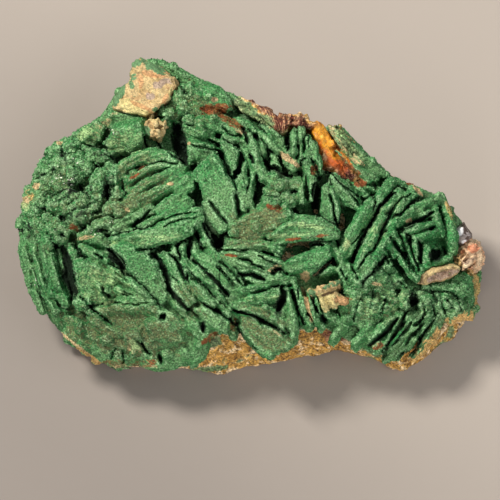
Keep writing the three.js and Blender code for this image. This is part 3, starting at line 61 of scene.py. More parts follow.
# numbers of the repeatable scramble: odd steps and bit masks
CELL_STEPS = (374761393, 668265263, 1440662683)
SEED_STEP = 974711
FOLD_STEP = 1274126177
LOW_32_BITS = 0xFFFFFFFF
LOW_24_BITS = 0xFFFFFF

# further than any distance that is compared, and how loosely pebbles lie in their cubes
FAR = 9.0
PEBBLE_JITTER = 0.7

# how far the side of a gap slopes out of and into its edge
GAP_OUTSIDE = 0.2
GAP_INSIDE = 0.12


@dataclass(frozen=True)
class Face:
    """The drawn face of the specimen, tipped back on its base.

    Attributes:
        tilt: angle between the face and the level of the base, in radians.
        origin: where the middle of the face lies in the row frame.
        dome_top, dome_slope, dome_curve: shape of the rock under the blades.
    """

    tilt: float = math.radians(20)
    origin: tuple[float, float, float] = (-0.377, -3.884, 25.0)
    dome_top: float = -7.0
    dome_slope: float = 0.22
    dome_curve: float = 0.004

    def to_face(self, row: Array) -> Array:
        """Turns row-frame metres into face millimetres: shift to the middle, then turn back by the tilt.

        Args:
            row: points in metres, one a line.

        Returns:
            The same points on the face.
        """
        p = row / MM - np.array(self.origin)
        c, s = math.cos(self.tilt), math.sin(self.tilt)
        return np.stack([p[:, 0], p[:, 1] * c + p[:, 2] * s, -p[:, 1] * s + p[:, 2] * c], axis=1)

    def to_row(self, face: Array) -> Array:
        """Turns face millimetres into row-frame metres: turn by the tilt, then shift.

        Args:
            face: points on the face, one a line.

        Returns:
            The same points in the row frame, in metres.
        """
        c, s = math.cos(self.tilt), math.sin(self.tilt)
        y = face[:, 1] * c - face[:, 2] * s
        z = face[:, 1] * s + face[:, 2] * c
        return (np.stack([face[:, 0], y, z], axis=1) + np.array(self.origin)) * MM

    def ground(self, x: Array, y: Array) -> Array:
        """Height of the rock: a dome that falls with y and with the squared distance from the middle."""
        return self.dome_top - self.dome_slope * y - self.dome_curve * (x * x + y * y)

    def viewer(self) -> Vector:
        """Direction from the face to the viewer, in the row frame."""
        return Vector((0.0, -math.sin(self.tilt), math.cos(self.tilt)))


FACE = Face()


def scramble(cell: Array, seed: int) -> Array:
    """Repeatable value from 0 to 1 for each whole-number cell: odd products summed, folded by shifts.

    Args:
        cell: whole numbers, three a line.
        seed: picks one of the patterns.

    Returns:
        One value a line.
    """
    c = cell.astype(np.int64)
    h = sum(c[:, k] * step for k, step in enumerate(CELL_STEPS)) + seed * SEED_STEP
    h = (h & LOW_32_BITS) ^ ((h & LOW_32_BITS) >> 13)
    h = (h * FOLD_STEP) & LOW_32_BITS
    h = h ^ (h >> 16)
    return (h & LOW_24_BITS) / float(LOW_24_BITS + 1)


def drift(points: Array, size: float, seed: int) -> Array:
    """Smooth unevenness from -1 to 1: values at the corners of cubes, eased into each other.

    Args:
        points: places, one a line.
        size: side of a cube.
        seed: picks one of the patterns.

    Returns:
        One value a line.
    """
    q = points / size
    low = np.floor(q)
    t = q - low
    t = t * t * t * (t * (t * 6 - 15) + 10)
    total = np.zeros(len(points))
    for corner in product((0, 1), repeat=3):
        step = np.array(corner)
        weight = np.prod(np.where(step == 1, t, 1 - t), axis=1)
        total += weight * scramble(low + step, seed)
    return total * 2 - 1


def layered(points: Array, size: float, seed: int, layers: int = 3, fall: float = 0.5) -> Array:
    """Sum of drifts, each of half the size of the one before and fall times its height.

    Args:
        points: places, one a line.
        size: size of the largest layer.
        seed: picks one of the patterns.
        layers: how many are summed.
        fall: height of a layer over the one before it.

    Returns:
        One value a line, about -1 to 1.
    """
    total = np.zeros(len(points))
    height, most = 1.0, 0.0
    for k in range(layers):
        total += height * drift(points, size / 2**k, seed + 31 * k)
        most += height
        height *= fall
    return total / most


def pebbles(points: Array, size: float, seed: int) -> tuple[Array, Array]:
    """Distance to the nearest of many scattered points, one in each cube, over the cube's side.

    Args:
        points: places, one a line.
        size: side of a cube.
        seed: picks one of the patterns.

    Returns:
        The distance, and a value from 0 to 1 that is the same all over each pebble.
    """
    q = points / size
    low = np.floor(q - 0.5)
    nearest = np.full(len(points), FAR)
    label = np.zeros(len(points))
    for corner in product((0, 1), repeat=3):
        cell = low + np.array(corner)
        x = scramble(cell, seed)
        jitter = np.stack([x, scramble(cell, seed + 1), scramble(cell, seed + 2)], axis=1)
        spot = cell + 0.5 + (jitter - 0.5) * PEBBLE_JITTER
        d = np.sum((q - spot) ** 2, axis=1)
        closer = d < nearest
        nearest = np.where(closer, d, nearest)
        label = np.where(closer, x, label)
    return np.sqrt(nearest), label


def domes(points: Array, size: float, seed: int, sharp: float = 1.3) -> tuple[Array, Array]:
    """Rounded bumps over scattered points: the root of 1 - sharp times the squared distance.

    Args:
        points: places, one a line.
        size: side of the cube that holds one bump.
        seed: picks one of the patterns.
        sharp: how fast a bump falls to its foot.

    Returns:
        The height of the bumps from 0 to 1, and a value from 0 to 1 that is the same all over each.
    """
    near, label = pebbles(points, size, seed)
    return np.sqrt(np.clip(1 - near * near * sharp, 0, 1)), label


def ease(value: Array, low: float, high: float) -> Array:
    """0 below low, 1 above high, and a smooth step between; high may be below low."""
    t = np.clip((value - low) / (high - low), 0, 1)
    return t * t * (3 - 2 * t)


def turned(points: Array, angle: float) -> tuple[Array, Array]:
    """Distances along and across a direction on the face; the angle is in degrees."""
    c, s = math.cos(math.radians(angle)), math.sin(math.radians(angle))
    return points[:, 0] * c + points[:, 1] * s, points[:, 1] * c - points[:, 0] * s


def ledges(points: Array, size: float, angle: float, seed: int, steps: float = 4.0) -> Array:
    """Broken cleavage: a drift that is long one way, cut into level treads with short risers.

    Args:
        points: places, one a line.
        size: width of a ledge; they are about three times as long.
        angle: direction of the ledges on the face.
        seed: picks one of the patterns.
        steps: how many treads between the lowest and the highest.

    Returns:
        One value a line, about -1 to 1.
    """
    along, across = turned(points, angle)
    walk = np.stack([along / 3, across, points[:, 2]], axis=1)
    value = (layered(walk, size, seed, 2, 0.4) + 1) * steps
    tread = np.floor(value)
    return (tread + ease(value - tread, 0.55, 0.95)) / steps - 1


@dataclass(frozen=True)
class Patch:
    """A place on the face with an uneven edge.

    Attributes:
        x, y: its middle.
        wide, tall: its half axes.
        turn: turn of the wide axis.
        strength: the mask's highest value.
    """

    x: float
    y: float
    wide: float
    tall: float
    turn: float = 0.0
    strength: float = 1.0

    def mask(self, points: Array, seed: int) -> Array:
        """1 inside an ellipse whose edge is bent by drift, and 0 outside.

        Args:
            points: places on the face.
            seed: picks the unevenness of the edge.

        Returns:
            One value a line.
        """
        u, v = turned(points - np.array((self.x, self.y, 0.0)), self.turn)
        away = np.hypot(u / self.wide, v / self.tall)
        near = away < 1.9
        bend = 0.35 * drift(points[near], 1.7, seed) + 0.3 * drift(points[near], 0.7, seed + 7)
        mask = np.zeros(len(points))
        mask[near] = self.strength * ease(away[near] + bend, 1.25, 0.7)
        return mask


def patches(points: Array, places: Sequence[Patch], seed: int) -> Array:
    """The highest mask of several patches at each point.

    Args:
        points: places on the face.
        places: the patches.
        seed: picks the unevenness of the first one's edge; the others follow.

    Returns:
        One value a line.
    """
    total = np.zeros(len(points))
    for k, place in enumerate(places):
        total = np.maximum(total, place.mask(points, seed + k))
    return total


def spots(*rows: tuple[float, ...]) -> tuple[Patch, ...]:
    """Patches from rows of x, y, half axes, turn and strength."""
    return tuple(Patch(*row) for row in rows)


@dataclass(frozen=True)
class Gap:
    """A dark gap between two blades, along a bent line on the face.

    Attributes:
        path: its points, as x, y, x, y and so on.
        wide: its width.
        deep: its depth.
    """

    path: tuple[float, ...]
    wide: float
    deep: float

    def mask(self, spots: Array) -> Array:
        """1 along the line and 0 beside it.

        The distance to the line is measured piece by piece, and the width thins to both ends by the
        root of 1 - 0.8 times u to the fourth, with u from -1 to 1 along the line.

        Args:
            spots: x and y on the face, one place a line.

        Returns:
            One value a line.
        """
        line = np.array(self.path).reshape(-1, 2)
        steps = np.linalg.norm(np.diff(line, axis=0), axis=1)
        before = np.cumsum(steps) - steps
        reach = self.wide / 2 + 1.5 * GAP_OUTSIDE
        inside = np.all((spots > line.min(axis=0) - reach) & (spots < line.max(axis=0) + reach), axis=1)
        q = spots[inside]
        nearest = np.full(len(q), FAR)
        along = np.zeros(len(q))
        for a, b, start, step in zip(line, line[1:], before, steps):
            t = np.clip((q - a) @ (b - a) / step**2, 0, 1)
            d = np.linalg.norm(q - a - t[:, None] * (b - a), axis=1)
            along = np.where(d < nearest, start + t * step, along)
            nearest = np.minimum(d, nearest)
        u = 2 * along / steps.sum() - 1
        half = self.wide / 2 * np.sqrt(1 - 0.8 * u**4)
        mask = np.zeros(len(spots))
        mask[inside] = ease(nearest, half + GAP_OUTSIDE, half - GAP_INSIDE)
        return mask


@dataclass
class Relief:
    """Height of the highest surface over each small square of the face.

    Attributes:
        places: what the heights are taken from, on the face.
        square: side of a square.
        wide, tall: half the size of the map.
        empty: the height of a square that nothing lies in.
        directions: in how many directions shelter is looked for.
        reaches: at which distances.
        heights: the map.
    """

    places: Array
    square: float = 0.35
    wide: float = 52.0
    tall: float = 40.0
    empty: float = -99.0
    directions: int = 8
    reaches: tuple[float, ...] = (0.6, 1.2, 2.2)
    heights: Array = field(init=False)

    def __post_init__(self) -> None:
        """Takes the highest place in each square; an empty square takes its highest neighbour's."""
        size = (int(2 * self.wide / self.square), int(2 * self.tall / self.square))
        heights = np.full(size, self.empty)
        squares = self._square_of(self.places[:, 0], self.places[:, 1], size)
        np.maximum.at(heights, squares, self.places[:, 2])
        moved = [np.roll(heights, step, axis=axis) for step in (-1, 1) for axis in (0, 1)]
        self.heights = np.where(heights == self.empty, np.max(moved, axis=0), heights)

    def _square_of(self, x: Array, y: Array, size: tuple[int, int]) -> tuple[Array, Array]:
        """Which square each place lies in; places off the map count in its outer squares.

        Args:
            x, y: on the face.
            size: how many squares the map has each way.

        Returns:
            The square's number each way.
        """
        i = np.clip(((x + self.wide) / self.square).astype(int), 0, size[0] - 1)
        j = np.clip(((y + self.tall) / self.square).astype(int), 0, size[1] - 1)
        return i, j

    def shelter(self, places: Array, facing: Array) -> Array:
        """How much of what each place faces is closed off by higher surfaces close by.

        In each direction the steepest rise to the map at several distances counts. A direction counts
        for more the more the place faces it.

        Args:
            places: on the face.
            facing: the way each faces.

        Returns:
            0 in the open to 1 at the bottom of a slot.
        """
        closed = np.zeros(len(places))
        share = np.full(len(places), 1e-6)
        for k in range(self.directions):
            angle = k * 2 * math.pi / self.directions
            dx, dy = math.cos(angle), math.sin(angle)
            steep = np.zeros(len(places))
            for reach in self.reaches:
                x, y = places[:, 0] + dx * reach, places[:, 1] + dy * reach
                spot = self._square_of(x, y, self.heights.shape)
                steep = np.maximum(steep, (self.heights[spot] - places[:, 2]) / reach)
            weight = np.clip(0.2 + facing[:, 2] + 1.2 * (facing[:, 0] * dx + facing[:, 1] * dy), 0, 1)
            closed += weight * ease(steep, 0.3, 2.2)
            share += weight
        return closed / share


def read_all(rows: bpy.types.bpy_prop_collection, name: str, width: int, kind: type = np.float32) -> Array:
    """Reads one property of every vertex, edge or face.

    Args:
        rows: what is read.
        name: the property.
        width: how many numbers each holds.
        kind: their type.

    Returns:
        The numbers, one line for each.
    """
    flat = np.zeros(len(rows) * width, kind)
    rows.foreach_get(name, flat)
    return flat.reshape(-1, width)


@dataclass
class Skin:
    """The surface of one mesh as arrays.

    Attributes:
        mesh: the mesh.
        places: its vertices on the face.
        facing: which way each vertex faces.
        edges: the two vertices of each edge.
    """

    mesh: bpy.types.Mesh
    places: Array = field(init=False)
    facing: Array = field(init=False)
    edges: Array = field(init=False)

    def __post_init__(self) -> None:
        """Reads the mesh."""
        self.edges = read_all(self.mesh.edges, "vertices", 2, np.int32)
        self.read()

    def read(self) -> None:
        """Reads places and facings again after the mesh has moved."""
        co = read_all(self.mesh.vertices, "co", 3).astype(float)
        self.places = FACE.to_face(co)
        self.facing = FACE.to_face(co + read_all(self.mesh.vertex_normals, "vector", 3) * MM) - self.places

    def average(self, values: Array, rounds: int = 1) -> Array:
        """Mean of each vertex and its neighbours along the edges, taken several times.

        Args:
            values: one line a vertex.
            rounds: how many times the mean is taken.

        Returns:
            The averaged values.
        """
        count = len(values)
        a, b = self.edges[:, 0], self.edges[:, 1]
        share = 1 + np.bincount(a, minlength=count) + np.bincount(b, minlength=count)
        columns = values.reshape(count, -1).copy()
        for _ in range(rounds):
            for k in range(columns.shape[1]):
                col = columns[:, k]
                near = np.bincount(a, col[b], minlength=count) + np.bincount(b, col[a], minlength=count)
                columns[:, k] = (col + near) / share
        return columns.reshape(values.shape)

    def push(self, height: Array) -> None:
        """Moves each vertex along its facing by a height."""
        self.write(self.places + self.facing * height[:, None])

    def write(self, places: Array) -> None:
        """Puts new places into the mesh.

        Args:
            places: on the face, one a vertex.
        """
        self.mesh.vertices.foreach_set("co", FACE.to_row(places).astype(np.float32).ravel())
        self.mesh.update()
        self.read()

    def roundness(self, rounds: int, full: float) -> Array:
        """How far the surface stands out of its own average: positive on edges, negative in corners.

        Args:
            rounds: how wide the average is.
            full: the distance that counts as 1.

        Returns:
            One value a vertex, from -1 to 1.
        """
        mean = self.average(self.places, rounds)
        out = np.sum((self.places - mean) * self.facing, axis=1)
        return np.clip(out / full, -1, 1)

    def note(self, name: str, values: Array) -> None:
        """Keeps a value for each vertex under a name that the materials read."""
        layer = self.mesh.attributes.get(name) or self.mesh.attributes.new(name, "FLOAT", "POINT")
        layer.data.foreach_set("value", values.astype(np.float32))

    def recall(self, name: str) -> Array:
        """The values kept under a name, one a vertex."""
        return read_all(self.mesh.attributes[name].data, "value", 1)[:, 0]


@dataclass(frozen=True)
class Carving:
    """Fine relief along the facing of a surface.

    Attributes:
        wave, wave_size: height and size of the broad unevenness.
        lump, lump_size: height and size of rounded lumps.
        grain, grain_size: height and size of the fine grain.
        seed: picks the pattern.
        ledge, ledge_size, ledge_angle: height, width and direction of cleavage ledges.
    """

    wave: float
    wave_size: float
    lump: float
    lump_size: float
    grain: float
    seed: int
    grain_size: float = 0.5
    ledge: float = 0.0
    ledge_size: float = 2.0
    ledge_angle: float = 0.0

    def height(self, places: Array) -> Array:
        """Broad drift, plus domes over scattered points, plus fine drift, plus ledges.

        Args:
            places: on the face, one a line.

        Returns:
            The height of the relief, one a line.
        """
        dome, label = domes(places, self.lump_size, self.seed + 5)
        dome = dome * (0.5 + label) - 0.55
        height = (
            self.wave * layered(places, self.wave_size, self.seed)
            + self.lump * dome
            + self.grain * layered(places, self.grain_size, self.seed + 9, 2, 0.7)
        )
        if self.ledge > 0:
            height += self.ledge * ledges(places, self.ledge_size, self.ledge_angle, self.seed + 13)
        return height


@dataclass(frozen=True)
class PlateRow:
    """Parallel thin plates that stand on the rock, or slits of the same form.

    Attributes:
        first, last: both ends of the first and of the last plate on the face: x, y, x, y.
        count: how many plates.
        high: height of the crests over the rock.
        thick: thickness of a plate.
        low: height of the feet over the rock.
        lean: how far a foot lies to the left of its crest, seen along the plate.
    """

    first: tuple[float, float, float, float]
    last: tuple[float, float, float, float]
    count: int
    high: float = 6.0
    thick: float = 0.8
    low: float = -1.2
    lean: float = 0.0

    def ends(self) -> Array:
        """Both ends of every plate: even steps from the first to the last, one plate a line."""
        t = np.linspace(0, 1, self.count)[:, None]
        return np.array([self.first]) * (1 - t) + np.array([self.last]) * t


@dataclass
class ClosedForms:
    """Many small closed surfaces of one kind, as rings of points.

    Attributes:
        points: forms by rings by points of a ring by x, y and z, on the face.
    """

    points: Array

    @classmethod
    def plates(cls, rows: Sequence[PlateRow], seed: int, rings: int = 15, sides: int = 8) -> "ClosedForms":
        """Plates on edge: along each, u from -1 to 1; round it, an angle a.

        The thickness is a rounded box in a, thins to both ends by the root of 1 - |u| cubed, and the crest
        falls towards the ends and is ragged by drift along its length.

        Args:
            rows: the rows of plates.
            seed: picks the unevenness.
            rings: steps in u.
            sides: steps in a.

        Returns:
            The plates.
        """
        ends = np.concatenate([row.ends() for row in rows])
        sizes = [np.tile([row.high, row.thick, row.low, row.lean], (row.count, 1)) for row in rows]
        high, thick, low, lean = (np.concatenate(sizes)[:, k][:, None, None] for k in range(4))
        label = np.stack([np.arange(len(ends))] * 3, axis=1)
        wild = (scramble(label, seed) - 0.5)[:, None, None]
        ends = ends + (np.stack([scramble(label, seed + k) for k in range(1, 5)], axis=1) - 0.5) * 0.5
        u = np.linspace(-1, 1, rings)[None, :, None]
        a = np.linspace(0, 2 * math.pi, sides, endpoint=False)[None, None, :]
        start, stop = ends[:, None, None, 0:2], ends[:, None, None, 2:4]
        run = stop - start
        length = np.linalg.norm(run, axis=-1)
        side = np.stack([-run[..., 1], run[..., 0]], axis=-1) / length[..., None]
        round_box = np.sign(np.cos(a)) * np.abs(np.cos(a)) ** 0.6
        up = 0.5 + 0.5 * np.sign(np.sin(a)) * np.abs(np.sin(a)) ** 0.8
        thin = np.maximum(1 - np.abs(u) ** 3, 0.04) ** 0.5
        along = np.broadcast_to(u * length / 2, (len(ends), rings, 1))
        walk = np.stack([along + 40 * wild, along * 0 + 90 * wild, along * 0], axis=-1)
        rag = drift(walk.reshape(-1, 3), 0.9, seed + 6).reshape(len(ends), rings, 1)
        crest = high * (1 + 0.12 * wild) - 0.3 * high * np.abs(u) ** 2.4 + 0.35 * rag
        height = low + (crest - low) * up
        across = round_box * thick / 2 * thin * (1.2 - 0.4 * up) + lean * (1 - up) + 0.12 * rag
        centre = start + run * (u[..., None] + 1) / 2
        xy = centre + side * across[..., None]
        z = FACE.ground(centre[..., 0], centre[..., 1]) + height
        return cls(np.concatenate([xy, z[..., None]], axis=-1))

    @classmethod
    def lumps(
        cls, places: Array, sizes: Array, rings: int = 6, sides: int = 8, pole: float = 0.3,
    ) -> "ClosedForms":
        """Balls: u from pole to pole and an angle a round it, flat at both poles.

        Args:
            places: their middles on the face.
            sizes: their radii, one each or one for each axis.
            rings: steps in u.
            sides: steps in a.
            pole: how far from a pole the flat begins, in radians.

        Returns:
            The lumps.
        """
        u = np.linspace(pole, math.pi - pole, rings)[:, None]
        a = np.linspace(0, 2 * math.pi, sides, endpoint=False)[None, :]
        ball = np.stack([np.sin(u) * np.cos(a), np.sin(u) * np.sin(a), np.cos(u) + 0 * a], axis=-1)
        radii = sizes.reshape(len(places), -1) * np.ones((1, 3))
        return cls(places[:, None, None, :] + ball[None] * radii[:, None, None, :])

    def add_to(self, mesh: bpy.types.Mesh) -> None:
        """Adds the forms to a mesh: squares between neighbouring rings, and strips of squares as caps.

        Args:
            mesh: what they are added to.
        """
        forms, rings, sides = self.points.shape[:3]
        ring, side = np.meshgrid(np.arange(rings - 1), np.arange(sides), indexing="ij")
        after = (side + 1) % sides
        wall = np.stack([ring * sides + side, ring * sides + after,
                         (ring + 1) * sides + after, (ring + 1) * sides + side], axis=-1).reshape(-1, 4)
        k = np.arange(sides // 2 - 1)
        cap = np.stack([k, sides - 1 - k, sides - 2 - k, k + 1], axis=-1)
        far = cap[:, ::-1] + (rings - 1) * sides
        one = np.concatenate([wall, cap, far])
        quads = (one[None] + (np.arange(forms) * rings * sides)[:, None, None]).reshape(-1, 4)
        extra = bpy.data.meshes.new("forms")
        extra.from_pydata(FACE.to_row(self.points.reshape(-1, 3)).tolist(), [], quads.tolist())
        bm = bmesh.new()
        bm.from_mesh(extra)
        bmesh.ops.recalc_face_normals(bm, faces=bm.faces)
        bm.from_mesh(mesh)
        bm.to_mesh(mesh)
        bm.free()
        bpy.data.meshes.remove(extra)


@dataclass
class Scatter:
    """Random places on the faces of a mesh, as many on each as its area and a weight give.

    Attributes:
        mesh: the mesh.
        seed: picks the places.
    """

    mesh: bpy.types.Mesh
    seed: int

    def pick(self, count: int, weight: Weight) -> tuple[Array, Array]:
        """Picks the places.

        Args:
            count: how many.
            weight: a function of the faces' middles and facings that gives each face's weight.

        Returns:
            The places on the face, and the facings there.
        """
        self.mesh.calc_loop_triangles()
        corners = read_all(self.mesh.loop_triangles, "vertices", 3, np.int32)
        p = FACE.to_face(read_all(self.mesh.vertices, "co", 3).astype(float))[corners]
        normal = np.cross(p[:, 1] - p[:, 0], p[:, 2] - p[:, 0])
        area = np.linalg.norm(normal, axis=1)
        facing = normal / np.maximum(area, 1e-9)[:, None]
        share = area * weight(p.mean(axis=1), facing)
        draw = np.random.default_rng(self.seed)
        which = draw.choice(len(share), count, p=share / share.sum())
        w = np.sqrt(draw.random((count, 1)))
        v = draw.random((count, 1))
        place = p[which, 0] * (1 - w) + p[which, 1] * w * (1 - v) + p[which, 2] * w * v
        return place, facing[which]


def operator(operation: str, swapped: bool = False) -> Callable[["Wire", Number], "Wire"]:
    """Makes an operator of Wire.

    Args:
        operation: what its Math node does.
        swapped: whether the other value comes first.

    Returns:
        The method.
    """
    def apply(self: "Wire", other: Number) -> "Wire":
        """Adds one Math node on the two values."""
        pair = (other, self) if swapped else (self, other)
        return self.book.node("Math", {"operation": operation}, *pair)
    return apply


@dataclass
class Wire:
    """A shader socket that can be worked with as an expression.

    Attributes:
        book: the material's nodes.
        socket: the output that gives the value.
    """

    book: "Book"
    socket: bpy.types.NodeSocket

    __add__ = __radd__ = operator("ADD")
    __sub__ = operator("SUBTRACT")
    __rsub__ = operator("SUBTRACT", swapped=True)
    __mul__ = __rmul__ = operator("MULTIPLY")
    __truediv__ = operator("DIVIDE")

    def step(self, low: float, high: float) -> "Wire":
        """Smooth step from 0 at low to 1 at high."""
        settings = {"interpolation_type": "SMOOTHSTEP"}
        return self.book.node("MapRange", settings, self, low, high, 0.0, 1.0)

    def clamp(self) -> "Wire":
        """Held between 0 and 1."""
        return self.book.node("Clamp", {}, self, 0.0, 1.0)


def tone(red: int, green: int, blue: int) -> Colour:
    """Linear colour for a shader, by the usual curve of a screen.

    Args:
        red, green, blue: screen values of 0 to 255.

    Returns:
        Red, green, blue and 1.
    """
    def linear(v: float) -> float:
        """One channel."""
        v = v / 255
        return v / 12.92 if v <= 0.04045 else ((v + 0.055) / 1.055) ** 2.4
    return (linear(red), linear(green), linear(blue), 1.0)


@dataclass
class Book:
    """The nodes of one material.

    Attributes:
        material: the material.
        shader: its shader.
    """

    material: bpy.types.Material
    shader: bpy.types.Node = field(init=False)

    def __post_init__(self) -> None:
        """Keeps the material's own shader."""
        self.material.use_nodes = True
        self.shader = self.material.node_tree.nodes["Principled BSDF"]

    def node(
        self, kind: str, settings: dict, *values: Value, out: Union[int, str] = 0, **named: Value,
    ) -> Wire:
        """Adds a node: settings first, then values or links by place, then by socket name.

        Args:
            kind: the node's type, without the word ShaderNode.
            settings: properties.
            values: for the first sockets, in order; None leaves one as it is.
            out: which output is returned.
            named: for sockets by name, with _ for a space.

        Returns:
            The chosen output.
        """
        made = self.material.node_tree.nodes.new("ShaderNode" + kind)
        for key, value in settings.items():
            setattr(made, key, value)
        sockets = [s for s in made.inputs if s.enabled]
        for socket, value in zip(sockets, values):
            self._feed(socket, value)
        for key, value in named.items():
            self._feed(made.inputs[key.replace("_", " ")], value)
        outputs = [s for s in made.outputs if s.enabled]
        return Wire(self, outputs[out] if isinstance(out, int) else made.outputs[out])

    def _feed(self, socket: bpy.types.NodeSocket, value: Value) -> None:
        """Links a wire to a socket, or sets its value.

        Args:
            socket: the input.
            value: a wire, a constant, or None to leave it as it is.
        """
        if value is None:
            return
        if isinstance(value, Wire):
            self.material.node_tree.links.new(value.socket, socket)
        else:
            socket.default_value = value

    def place(self) -> Wire:
        """Object coordinates in millimetres."""
        where = self.node("TexCoord", {}, out="Object")
        return self.node("VectorMath", {"operation": "SCALE"}, where, Scale=1 / MM)

    def noise(self, where: Wire, size: float, detail: float = 3.0, rough: float = 0.6) -> Wire:
        """Noise of about 0 to 1 whose largest features are size millimetres."""
        return self.node(
            "TexNoise", {"noise_dimensions": "3D"}, where,
            Scale=1 / size, Detail=detail, Roughness=rough,
        )

    def cells(self, where: Wire, size: float, out: str = "Distance", feature: str = "F1") -> Wire:
        """Cells of size millimetres: the distance to their middles, or a colour for each."""
        return self.node("TexVoronoi", {"feature": feature}, where, Scale=1 / size, out=out)

    def value(self, name: str) -> Wire:
        """A value kept on the mesh."""
        return self.node("Attribute", {"attribute_name": name}, out="Fac")

    def mix(self, share: Number, low: Value, high: Value, blend: str = "MIX") -> Wire:
        """Colour low where share is 0 and high where it is 1."""
        settings = {"data_type": "RGBA", "blend_type": blend}
        return self.node("Mix", settings, share, low, high)

    def speckle(self, colour: Wire, where: Wire, size: float, low: float, high: float) -> Wire:
        """Makes each small grain of a colour darker or lighter than the next.

        Args:
            colour: what is changed.
            where: place.
            size: size of the grains.
            low, high: what the colour of the darkest and the lightest grains is multiplied by.

        Returns:
            The changed colour.
        """
        each = self.split(self.cells(where, size, "Color"), 0)
        return self.mix(1.0, colour, each * (high - low) + low, "MULTIPLY")

    def fibres(self, height: Wire) -> Wire:
        """Fine streaks along the grain of the piece, from about -0.5 to 0.5; weak where it shows none."""
        walk = self.node(
            "CombineXYZ", {},
            self.value("along") / 3.0, self.value("across") / 0.34, height * 0.8,
        )
        return (self.noise(walk, 1.0, 3.0, 0.6) - 0.5) * 1.6 * self.value("lie")

    def split(self, colour: Wire, part: int, kind: str = "SeparateColor") -> Wire:
        """One channel of a colour or of a place."""
        return self.node(kind, {}, colour, out=part)

    def bump(self, height: Wire, strength: float, distance: float) -> Wire:
        """Normal bent by a height; distance."""
        return self.node("Bump", {}, Strength=strength, Distance=distance * MM, Height=height)

    def finish(self, **named: Value) -> None:
        """Feeds the material's shader."""
        for key, value in named.items():
            self._feed(self.shader.inputs[key.replace("_", " ")], value)


class Finish:
    """What every finish has: a name, and a way to paint."""

    name: str

    def make(self) -> bpy.types.Material:
        """Builds the material.

        Returns:
            The finished material.
        """
        book = Book(bpy.data.materials.new(self.name))
        self.paint(book, book.place())
        return book.material

    def paint(self, book: Book, where: Wire) -> None:
        """Feeds the shader; where is the place."""
        raise NotImplementedError


@dataclass(frozen=True)
class MalachiteFinish(Finish):
    """Velvety green druse: emerald on faces turned aside, dusty sage on faces turned up (dust, and painted
    light from above), a painted highlight on the edges, painted shade in gaps and hollows, and painted
    glints.
    """

    name: str = "malachite"
    emerald: Colour = tone(52, 132, 68)
    sage: Colour = tone(118, 150, 100)
    # deep: the colour of painted shade in gaps and hollows, and of dark grains
    deep: Colour = tone(5, 13, 7)
    # pale: the colour of the painted highlight on the edges
    pale: Colour = tone(150, 192, 140)
    olive: Colour = tone(100, 98, 60)
    rust: Colour = tone(134, 66, 30)
    amber: Colour = tone(204, 116, 24)
    ochre: Colour = tone(216, 174, 108)
    cream: Colour = tone(206, 176, 130)
    lime: Colour = tone(162, 194, 130)
    # white: the colour of the painted glints
    white: Colour = tone(246, 244, 226)
    grain: float = 0.3
    speckle: float = 0.24
    brown_share: float = 0.85
    edge_highlight_share: float = 0.7
    dark_grains_and_pit_shade_share: float = 0.5
    stain_share: float = 0.92
    shade_share: float = 0.95

    def paint(self, book: Book, where: Wire) -> None:
        """Feeds the shader; where is the place."""
        broad = book.noise(where, 6.0, 3.0)
        middle = book.noise(where, 1.7, 4.0, 0.65)
        fine = book.noise(where, 0.45, 3.0, 0.75)
        dot = book.cells(where, self.grain)
        each = book.split(book.cells(where, self.grain, "Color"), 0)
        fibre = book.fibres(book.split(where, 2, "SeparateXYZ"))
        rough = fine - 0.5
        uneven = middle - 0.5
        odd = each - 0.5
        grown = uneven * 0.6 + fibre * 0.55
        # sage where faces turn up: partly dust, partly painted light from above
        share = (book.value("dust_and_top_light") + (broad - 0.5) * 0.6 + grown).clamp()
        colour = book.mix(share, self.emerald, self.sage)
        brown = (book.value("dusty") * 0.9 + grown + odd * 0.9 + rough * 0.8).step(0.2, 0.95)
        colour = book.mix(brown * self.brown_share, colour, self.olive)
        # painted highlight: edges that stand out, and some random grains, are made pale
        edge = (book.value("rim") + fibre * 0.4 + rough * 0.8 + odd).step(0.2, 0.9)
        colour = book.mix(edge * self.edge_highlight_share, colour, self.pale)
        # random dark grains, and painted shade in the pits between grains
        dark_grains_and_pit_shade = (dot * 0.4 - odd * 1.3 - rough * 0.8 - fibre * 0.4 - 0.2).step(0.1, 0.7)
        colour = book.mix(dark_grains_and_pit_shade * self.dark_grains_and_pit_shade_share, colour, self.deep)
        for name in ("rust", "cream", "lime", "amber", "ochre"):
            kept = book.value(name)
            spread = (kept + fibre * 0.9 + rough * 1.1 + uneven * 1.4).step(0.3, 0.95)
            colour = book.mix(spread * kept.step(0.0, 0.4) * self.stain_share, colour, getattr(self, name))
        colour = book.speckle(colour, where, self.speckle, 0.5, 1.5)
        # painted shade: sheltered hollows, gaps, the shade between lumps and the shaded places go dark
        shade = (book.value("shelter").step(0.4, 1.0) * 0.6 + book.value("gap")).clamp()
        colour = book.mix(shade * self.shade_share, colour, self.deep)
        # painted glints: a few grains in the sparkle places are made white and glossy
        glint = (each - 0.95).step(0.0, 0.01) * book.value("sparkle")
        colour = book.mix(glint, colour, self.white)
        height = (1 - dot) * 0.9 + fine * 0.6 + middle * 0.2 + fibre * 0.4
        book.finish(
            Base_Color=colour,
            Roughness=0.72 - glint * 0.5 + rough * 0.3 + shade * 0.28,
            Normal=book.bump(height, 0.9, 0.26),
        )
        book.shader.inputs["Specular IOR Level"].default_value = 0.3


